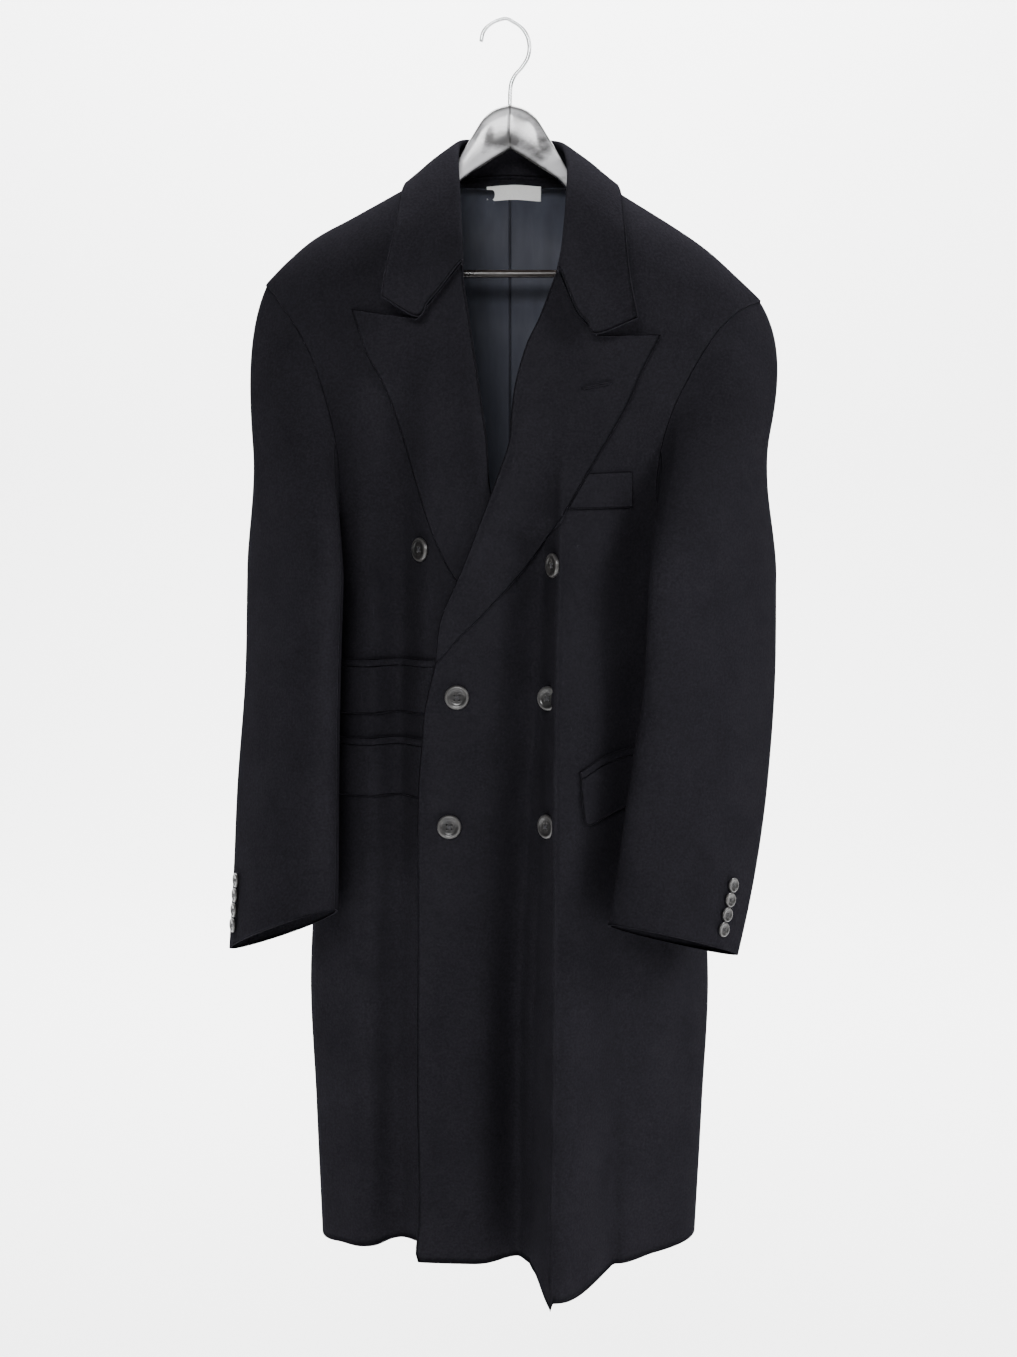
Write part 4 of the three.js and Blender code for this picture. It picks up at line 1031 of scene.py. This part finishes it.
top_sleeves, under_sleeves = [], []
seam_front, seam_back = round(AROUND * SEAM_FRONT), round(AROUND * SEAM_BACK)
for side in SIGN:
    grid = sleeve_grid(side)
    top_sleeves.append(sleeve_part("top_sleeve_" + side, seam_back, AROUND + seam_front, grid))
    under_sleeves.append(sleeve_part("under_sleeve_" + side, seam_front, seam_back, grid))

# %% [markdown]
# ## Flaps, jets and welt
# A flap is a lined piece sewn under a jet, a folded strip that finishes the pocket's cut edge. The
# breast welt is a firm strip that slants a little with the lapel.

# %%
PATCH_GRID, TALL_PATCH = (26, 60), 20
HIP_TOP, HIP_JET = [(69, -765), (96, -751), (150, -742)], [(68, -758), (95, -744), (150, -736)]
# Node, layer, line along the top, line along the bottom, radius of the lower corners
PATCHES = [
    ("ticket_flap_left", 1, [(-174, -662), (-66, -658)], [(-173, -708), (-66, -703)], 6),
    ("ticket_jet_left", 1, [(-174, -655), (-66, -651)], [(-174, -661), (-66, -657)], 1),
    ("hip_flap_left", 1, [(-176, -740), (-62, -737)], [(-176, -790), (-62, -787)], 6),
    ("hip_jet_left", 1, [(-176, -733), (-62, -730)], [(-176, -739), (-62, -736)], 1),
    ("hip_flap_right", 3, HIP_TOP, [(73, -812), (101, -801), (150, -788)], 8),
    ("hip_jet_right", 3, HIP_JET, [(69, -764), (96, -750), (150, -742)], 1),
    ("breast_welt", 3, [(76, -469), (119, -467)], [(57, -502), (119, -501)], 0.5),
]


def patch(node, layer, top, bottom, corner):
    """A patch between its top and bottom lines, with its lower corners rounded off."""
    rows, cols = PATCH_GRID
    top, bottom = smooth_line(top, cols), smooth_line(bottom, cols)
    u, v = np.linspace(0, 1, cols), np.linspace(0, 1, rows)
    near = np.minimum(u, 1 - u) * np.linalg.norm(bottom[-1] - bottom[0])
    round_up = corner - np.sqrt(np.maximum(corner**2 - np.maximum(corner - near, 0) ** 2, 0))
    flat = top[None] + (bottom - top)[None] * v[:, None, None]
    tall = np.linalg.norm(bottom - top, axis=1).mean() > TALL_PATCH
    flat[..., 1] += round_up[None] * v[:, None] ** 2 * tall
    lift = 0.5 * np.sin(np.pi * v)[:, None] * np.ones(cols) + 0.8 * v[:, None] * tall
    return wool_piece(node, *on_body(-1, flat, layer, lift))


patches = {node: patch(node, *rest) for node, *rest in PATCHES}

# %% [markdown]
# ## Inside the neck
# Between the lapels the coat shows its lining, two halves of satin with a seam down the middle, and
# above it the wool facing of the back neck with a small bare label.

# %%
INSIDE_GRID = (60, 70)
FACING_TOP = [(-60, -174), (-36, -172), (0, -169), (36, -172), (60, -174)]
FACING_FOOT = [(-84, -181), (0, -177), (84, -181)]
NECK_LABEL = [(-24, -175), (4, -173), (32, -175)], [(-24, -189), (4, -187), (32, -189)]
LINING_TOP, LINING_BOTTOM = [(0, -177.5), (84, -181.5), (150, -225)], -720
LINING_HALF = {"left": 150, "right": 140}
HALF_SEAM = 0.3
# How deep each one's inner face lies below the back's inner side, and its own thickness
FACING_WALL, LABEL_WALL, LINING_WALL = (1.7, 1.2), (2.9, 0.8), (1.7, 1.0)
PUCKER = 1.6


def inside(node, top, bottom, sunk, thick, material, slot, pucker=0.0):
    """A patch on the inner side of the back, sunk below the cloth, with soft upright puckers: the
    absolute value of two crossing waves."""
    rows, cols = INSIDE_GRID
    v = np.linspace(0, 1, rows)[:, None, None]
    flat = smooth_line(top, cols)[None] * (1 - v) + smooth_line(bottom, cols)[None] * v
    x, z = flat[..., 0], flat[..., 1]
    out = outward(1, x, z, folded=False)
    wave = pucker * (np.sin(x / 7.5 + z / 90) + 0.6 * np.sin(x / 17 - z / 60)) * 0.5
    outer = np.stack([x, depth(1, x, z), z], axis=-1) - out * (sunk - thick + np.abs(wave))[..., None]
    return finish_piece(shell(node + "_cloth", outer - out * thick, outer), material, slot, node)


neck_facing = inside("neck_facing", FACING_TOP, FACING_FOOT, *FACING_WALL, WOOL, "overcoat_cloth")
neck_label = inside("neck_label", *NECK_LABEL, *LABEL_WALL, LABEL, "label_cloth")
for side, far in LINING_HALF.items():
    top = [(SIGN[side] * max(min(x, far), HALF_SEAM), z) for x, z in LINING_TOP]
    bottom = [(SIGN[side] * HALF_SEAM, LINING_BOTTOM), (SIGN[side] * far, LINING_BOTTOM)]
    inside("lining_" + side, top, bottom, *LINING_WALL, LINING, "lining_satin", PUCKER)

# %% [markdown]
# ## Buttons
# Horn buttons are turned on a lathe: a raised rim, a dished middle and four holes. Each stands on a
# short thread shank, so it is made as a turned profile with its holes left as dark wells that the
# thread crosses.

# %%
# Each button's turn about the upright, in degrees
BUTTONS = dict(button_1=52, button_2=62, button_3=4, button_4=34, button_5=4, button_6=50)
# Radius and height of the turned profile, from the middle of the back round the rim to the face
PROFILE = [
    (0, 0), (0.5, 0), (0.8, 0.02), (0.94, 0.14), (1, 0.4), (0.99, 0.66), (0.94, 0.86),
    (0.87, 0.97), (0.79, 1), (0.7, 0.93), (0.62, 0.78), (0.5, 0.7), (0.3, 0.68), (0, 0.67),
]
HOLE_OUT, HOLE_WIDE, HOLE_DEEP = 0.17, 0.085, 0.5
HOLES = [(HOLE_OUT, HOLE_OUT), (-HOLE_OUT, HOLE_OUT), (-HOLE_OUT, -HOLE_OUT), (HOLE_OUT, -HOLE_OUT)]
# The share of the profile's points after which it is cut finer
FINE_FROM = 0.62
# Radius and thickness
FRONT_BUTTON, CUFF_BUTTON = (12, 4.2), (7.2, 2.8)
CUFF_BUTTONS, CUFF_TOP, CUFF_STEP, CUFF_TURN, CUFF_SPAN = 4, -867, 13.2, -0.12 * np.pi, 0.1


def turned(radius, thick, around=72, rings=56):
    """A profile of radius and height turned about the z axis, with four round wells sunk in the face:
    each takes a soft-edged step off the height near its middle. Also how near the rim each point is."""
    p = np.array(PROFILE)
    coarse = np.linspace(0, FINE_FROM, rings // 2, endpoint=False)
    fine = at_shares(p, np.concatenate([coarse, np.linspace(FINE_FROM, 1, rings - rings // 2)]))[::-1]
    a = np.linspace(0, 2 * np.pi, around, endpoint=False)
    x, y = fine[:, :1] * np.cos(a), fine[:, :1] * np.sin(a)
    z = fine[:, 1:] + 0 * a
    for hx, hy in HOLES:
        far = np.hypot(x - hx, y - hy)
        z = z - HOLE_DEEP * smoothstep(-far, -HOLE_WIDE * 1.15, -HOLE_WIDE * 0.8) * (z > 0.3)
    # How near the raised rim's crest each face point is: where the horn gets its painted highlight
    rim = np.exp(-(((np.hypot(x, y) - 0.88) / 0.09) ** 2)) * (z > 0.5)
    points = np.stack([x * radius, y * radius, z * thick], axis=-1)
    return points.reshape(-1, 3), grid_faces(len(fine), around, wrap=True), rim


def stitches(radius, thick):
    """Two arched strands of thread that cross between opposite holes, as round tubes."""
    t, a = np.linspace(-1, 1, 17)[:, None], np.linspace(0, 2 * np.pi, 8, endpoint=False)
    reach, thin = HOLE_OUT * radius, 0.05 * radius
    points, faces = [], []
    for k, (dx, dy) in enumerate(((1, 1), (1, -1))):
        top = thick * (0.55 + 0.22 * (1 - t**4)) + k * thin * 0.6
        ring = thin * np.cos(a)
        x = t * reach * dx - ring * dy * 0.7
        y = t * reach * dy + ring * dx * 0.7
        z = top + thin * np.sin(a)
        points.append(np.stack([x, y, z], axis=-1).reshape(-1, 3))
        faces.append(grid_faces(len(t), len(a), wrap=True, start=k * len(t) * len(a)))
    return np.concatenate(points), np.concatenate(faces)


def placed(points, place, out):
    """Points moved from lying on z to facing out at a place."""
    out = np.array(out) / np.linalg.norm(out)
    side = np.cross((0, 0, 1), out)
    side /= np.linalg.norm(side)
    up = np.cross(out, side)
    return points @ np.stack([side, up, out]) + place


def button_piece(name, out, radius, thick):
    place = box_centre(name) - out * (thick / 2)
    points, faces, rim = turned(radius, thick)
    piece = link_mesh(name + "_horn", placed(points, place, out), faces)
    # The rim value places the painted highlight on the horn
    give_value(piece, "rim", rim)
    finish_piece(piece, HORN, "horn_button", name)
    points, faces = stitches(radius, thick)
    thread = link_mesh(name + "_thread", placed(points, place, out), faces)
    finish_piece(thread, THREAD, "overcoat_cloth")


def box_centre(node):
    low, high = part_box(node)
    return (np.array(low) + np.array(high)) / 2 * 1000 - (HOOK_ASIDE, 0, HOOK_DROP)


for name, turn in BUTTONS.items():
    turn = math.radians(turn)
    button_piece(name, np.array([-math.sin(turn), -math.cos(turn), 0]), *FRONT_BUTTON)

for side, sign in SIGN.items():
    for k in range(CUFF_BUTTONS):
        z = np.array(CUFF_TOP - CUFF_STEP * k)
        ahead = sleeve_section(side, z, np.array(CUFF_TURN + CUFF_SPAN))
        step = ahead - sleeve_section(side, z, np.array(CUFF_TURN - CUFF_SPAN))
        out = np.array([-step[1], step[0], 0])
        out *= sign * np.sign(out[0]) / np.linalg.norm(out)
        button_piece(f"cuff_button_{side}_{k + 1}", out, *CUFF_BUTTON)
print("buttons:", len(BUTTONS), "in front and", CUFF_BUTTONS, "on each cuff")

# %% [markdown]
# ## Hanger
# A shaped wooden hanger carries the shoulders on broad arms that swell towards their ends, with a
# pointed bell at the middle where the wire hook screws in, and a thin bar for trousers.

# %%
HANGER_COLUMNS = ("x", "top", "bottom", "y", "half")
HANGER = [
    (0, -100, -144, 0, 9),
    (16, -105, -153, 0, 9),
    (27, -114, -160, 0, 9.5),
    (37, -129, -166, 1, 10),
    (51, -152, -176, 2, 9.5),
    (64, -173, -191, 4, 9.5),
    (80, -182, -202, 7, 11),
    (120, -203, -226, 11, 14),
    (165, -231, -257, 13, 17),
    (196, -254, -290, 13, 19),
    (222, -278, -314, 13, 17),
]
HOOK = [
    (0, -124), (0, -96), (1, -80), (5, -71), (12, -63), (17.5, -54), (19.5, -44), (17.5, -33),
    (11, -23.5), (2, -17.5), (-4, -15), (-13, -17), (-21, -21.5), (-27, -29), (-29, -38),
]
SQUARED, END_CLOSE, JOINT_GROOVE = 0.62, 6, 0.06
HOOK_RADIUS, BAR_RADIUS, TUBE_END = 2.0, 4.0, 0.8
BAR_HALF, BAR_Y, BAR_Z = 182, 12, -267


def ringed(name, rings, around, points):
    """A closed skin over rings of points, with a flat cap over each end."""
    last = (rings - 1) * around
    caps = [list(range(around)), list(range(last, last + around))[::-1]]
    return link_mesh(name, points, grid_faces(rings, around, wrap=True), caps)


def hanger_body(around=56, rings=301):
    """Squared ovals along the arms, closing in a little over the last few millimetres, with a fine
    groove down the middle where the two arms are glued."""
    rows = [dict(zip(HANGER_COLUMNS, row)) for row in HANGER]
    end_x = HANGER[-1][0]
    x = np.linspace(-end_x, end_x, rings)
    value = {name: along(rows, "x", abs(x), name)[:, None] for name in HANGER_COLUMNS[1:]}
    a = np.linspace(0, 2 * np.pi, around, endpoint=False)[None]
    across, up = (np.sign(v) * abs(v) ** SQUARED for v in (np.cos(a), np.sin(a)))
    end = np.clip((end_x - abs(x)) / END_CLOSE, 0, 1)[:, None] ** 0.5 * 0.3 + 0.7
    joint = 1 - JOINT_GROOVE * np.exp(-((x / 0.9) ** 2))[:, None]
    y = value["y"] + value["half"] * end * joint * across
    z = (value["top"] + value["bottom"]) / 2 + (value["top"] - value["bottom"]) / 2 * end * up
    points = np.stack([x[:, None] + 0 * a, y, z], axis=-1).reshape(-1, 3)
    piece = ringed("hanger_wood", rings, around, points)
    # The front face, turned to the camera and below the top: where the wood gets its painted silvery
    # glare
    face = smoothstep(-across, 0.45, 0.8) * smoothstep(-up, -0.93, -0.7) * (joint > 0.97)
    give_value(piece, "face", face)
    return finish_piece(piece, WOOD, "hanger_wood", "hanger")


def tube(name, path, radius, around, material, slot, node):
    """A round tube along a path of points, swept with a frame that never twists far."""
    step = np.gradient(path, axis=0)
    step /= np.linalg.norm(step, axis=1, keepdims=True)
    side = np.cross(step, (0, 1, 0))
    side /= np.linalg.norm(side, axis=1, keepdims=True)
    up = np.cross(side, step)
    a = np.linspace(0, 2 * np.pi, around, endpoint=False)
    ring = side[:, None] * np.cos(a)[None, :, None] + up[:, None] * np.sin(a)[None, :, None]
    size = np.full(len(path), radius)
    size[0] = size[-1] = radius * TUBE_END
    points = (path[:, None] + ring * size[:, None, None]).reshape(-1, 3)
    return finish_piece(ringed(name, len(path), around, points), material, slot, node)


hanger_body()
hook_x, hook_z = smooth_line(HOOK, 160).T
hook_path = np.stack([hook_x, 0 * hook_x, hook_z], axis=1)
tube("hook_wire", hook_path, HOOK_RADIUS, 20, STEEL, "hook_steel", "hook")
bar_x = np.linspace(-BAR_HALF, BAR_HALF, 40)
bar_path = np.stack([bar_x, BAR_Y + 0 * bar_x, BAR_Z + 0 * bar_x], axis=1)
tube("trouser_bar_wood", bar_path, BAR_RADIUS, 24, BAR_WOOD, "hanger_wood", "trouser_bar")
print("hanger arms reach", HANGER[-1][0], "mm to each side of the hook")

# %% [markdown]


# %% [markdown]
# ## Studio
# A pale floor that rises into a pale wall. A soft light from the viewer's right shows the folds, a
# weaker one from the front fills them a little, and a third lights the wall alone.

# %%
def stage_mesh(name, points, faces, color):
    obj = smooth_mesh(name, points, faces)
    material, shader = new_material(name + "_paint", color, 0.9)
    obj.data.materials.append(material)


FLOOR, STAGE_FRONT, STAGE_BEND = -1.62, -6.0, 3.6
STAGE_ROUND, STAGE_TOP, STAGE_HALF = 1.2, 6.0, 7.0
WORLD_STRENGTH = 0.09
bend = np.linspace(0, math.pi / 2, 24)
curve_y = STAGE_BEND + STAGE_ROUND * np.sin(bend)
curve_z = FLOOR + STAGE_ROUND - STAGE_ROUND * np.cos(bend)
profile = [(STAGE_FRONT, FLOOR), *zip(curve_y, curve_z), (STAGE_BEND + STAGE_ROUND, STAGE_TOP)]
stage_points = [(x, y, z) for y, z in profile for x in (-STAGE_HALF, STAGE_HALF)]
stage_faces = [(2 * k, 2 * k + 1, 2 * k + 3, 2 * k + 2) for k in range(len(profile) - 1)]
stage_mesh("studio_floor", stage_points, stage_faces, (0.93, 0.93, 0.93))


def area_light(name, place, target, size, power):
    data = bpy.data.lights.new(name, "AREA")
    data.shape, data.size, data.size_y, data.energy = "RECTANGLE", size[0], size[1], power
    light = bpy.data.objects.new(name, data)
    light.location = place
    direction = np.array(target) - np.array(place)
    yaw = math.atan2(direction[0], direction[1])
    pitch = math.atan2(direction[2], math.hypot(*direction[:2]))
    light.rotation_euler = (math.pi / 2 + pitch, 0, -yaw)
    bpy.context.scene.collection.objects.link(light)


area_light("key", (2.9, -1.4, 0.8), (0, 0, -0.6), (0.9, 1.6), 88)
area_light("front", (-0.4, -2.8, 0.5), (0, 0, -0.3), (1.0, 0.6), 70)
area_light("backdrop", (0, 1.6, 3.2), (0, 4.2, -0.9), (5.0, 1.2), 1500)

world = bpy.data.worlds.new("studio")
world.use_nodes = True
world.node_tree.nodes["Background"].inputs["Color"].default_value = (1, 1, 1, 1)
world.node_tree.nodes["Background"].inputs["Strength"].default_value = WORLD_STRENGTH
bpy.context.scene.world = world
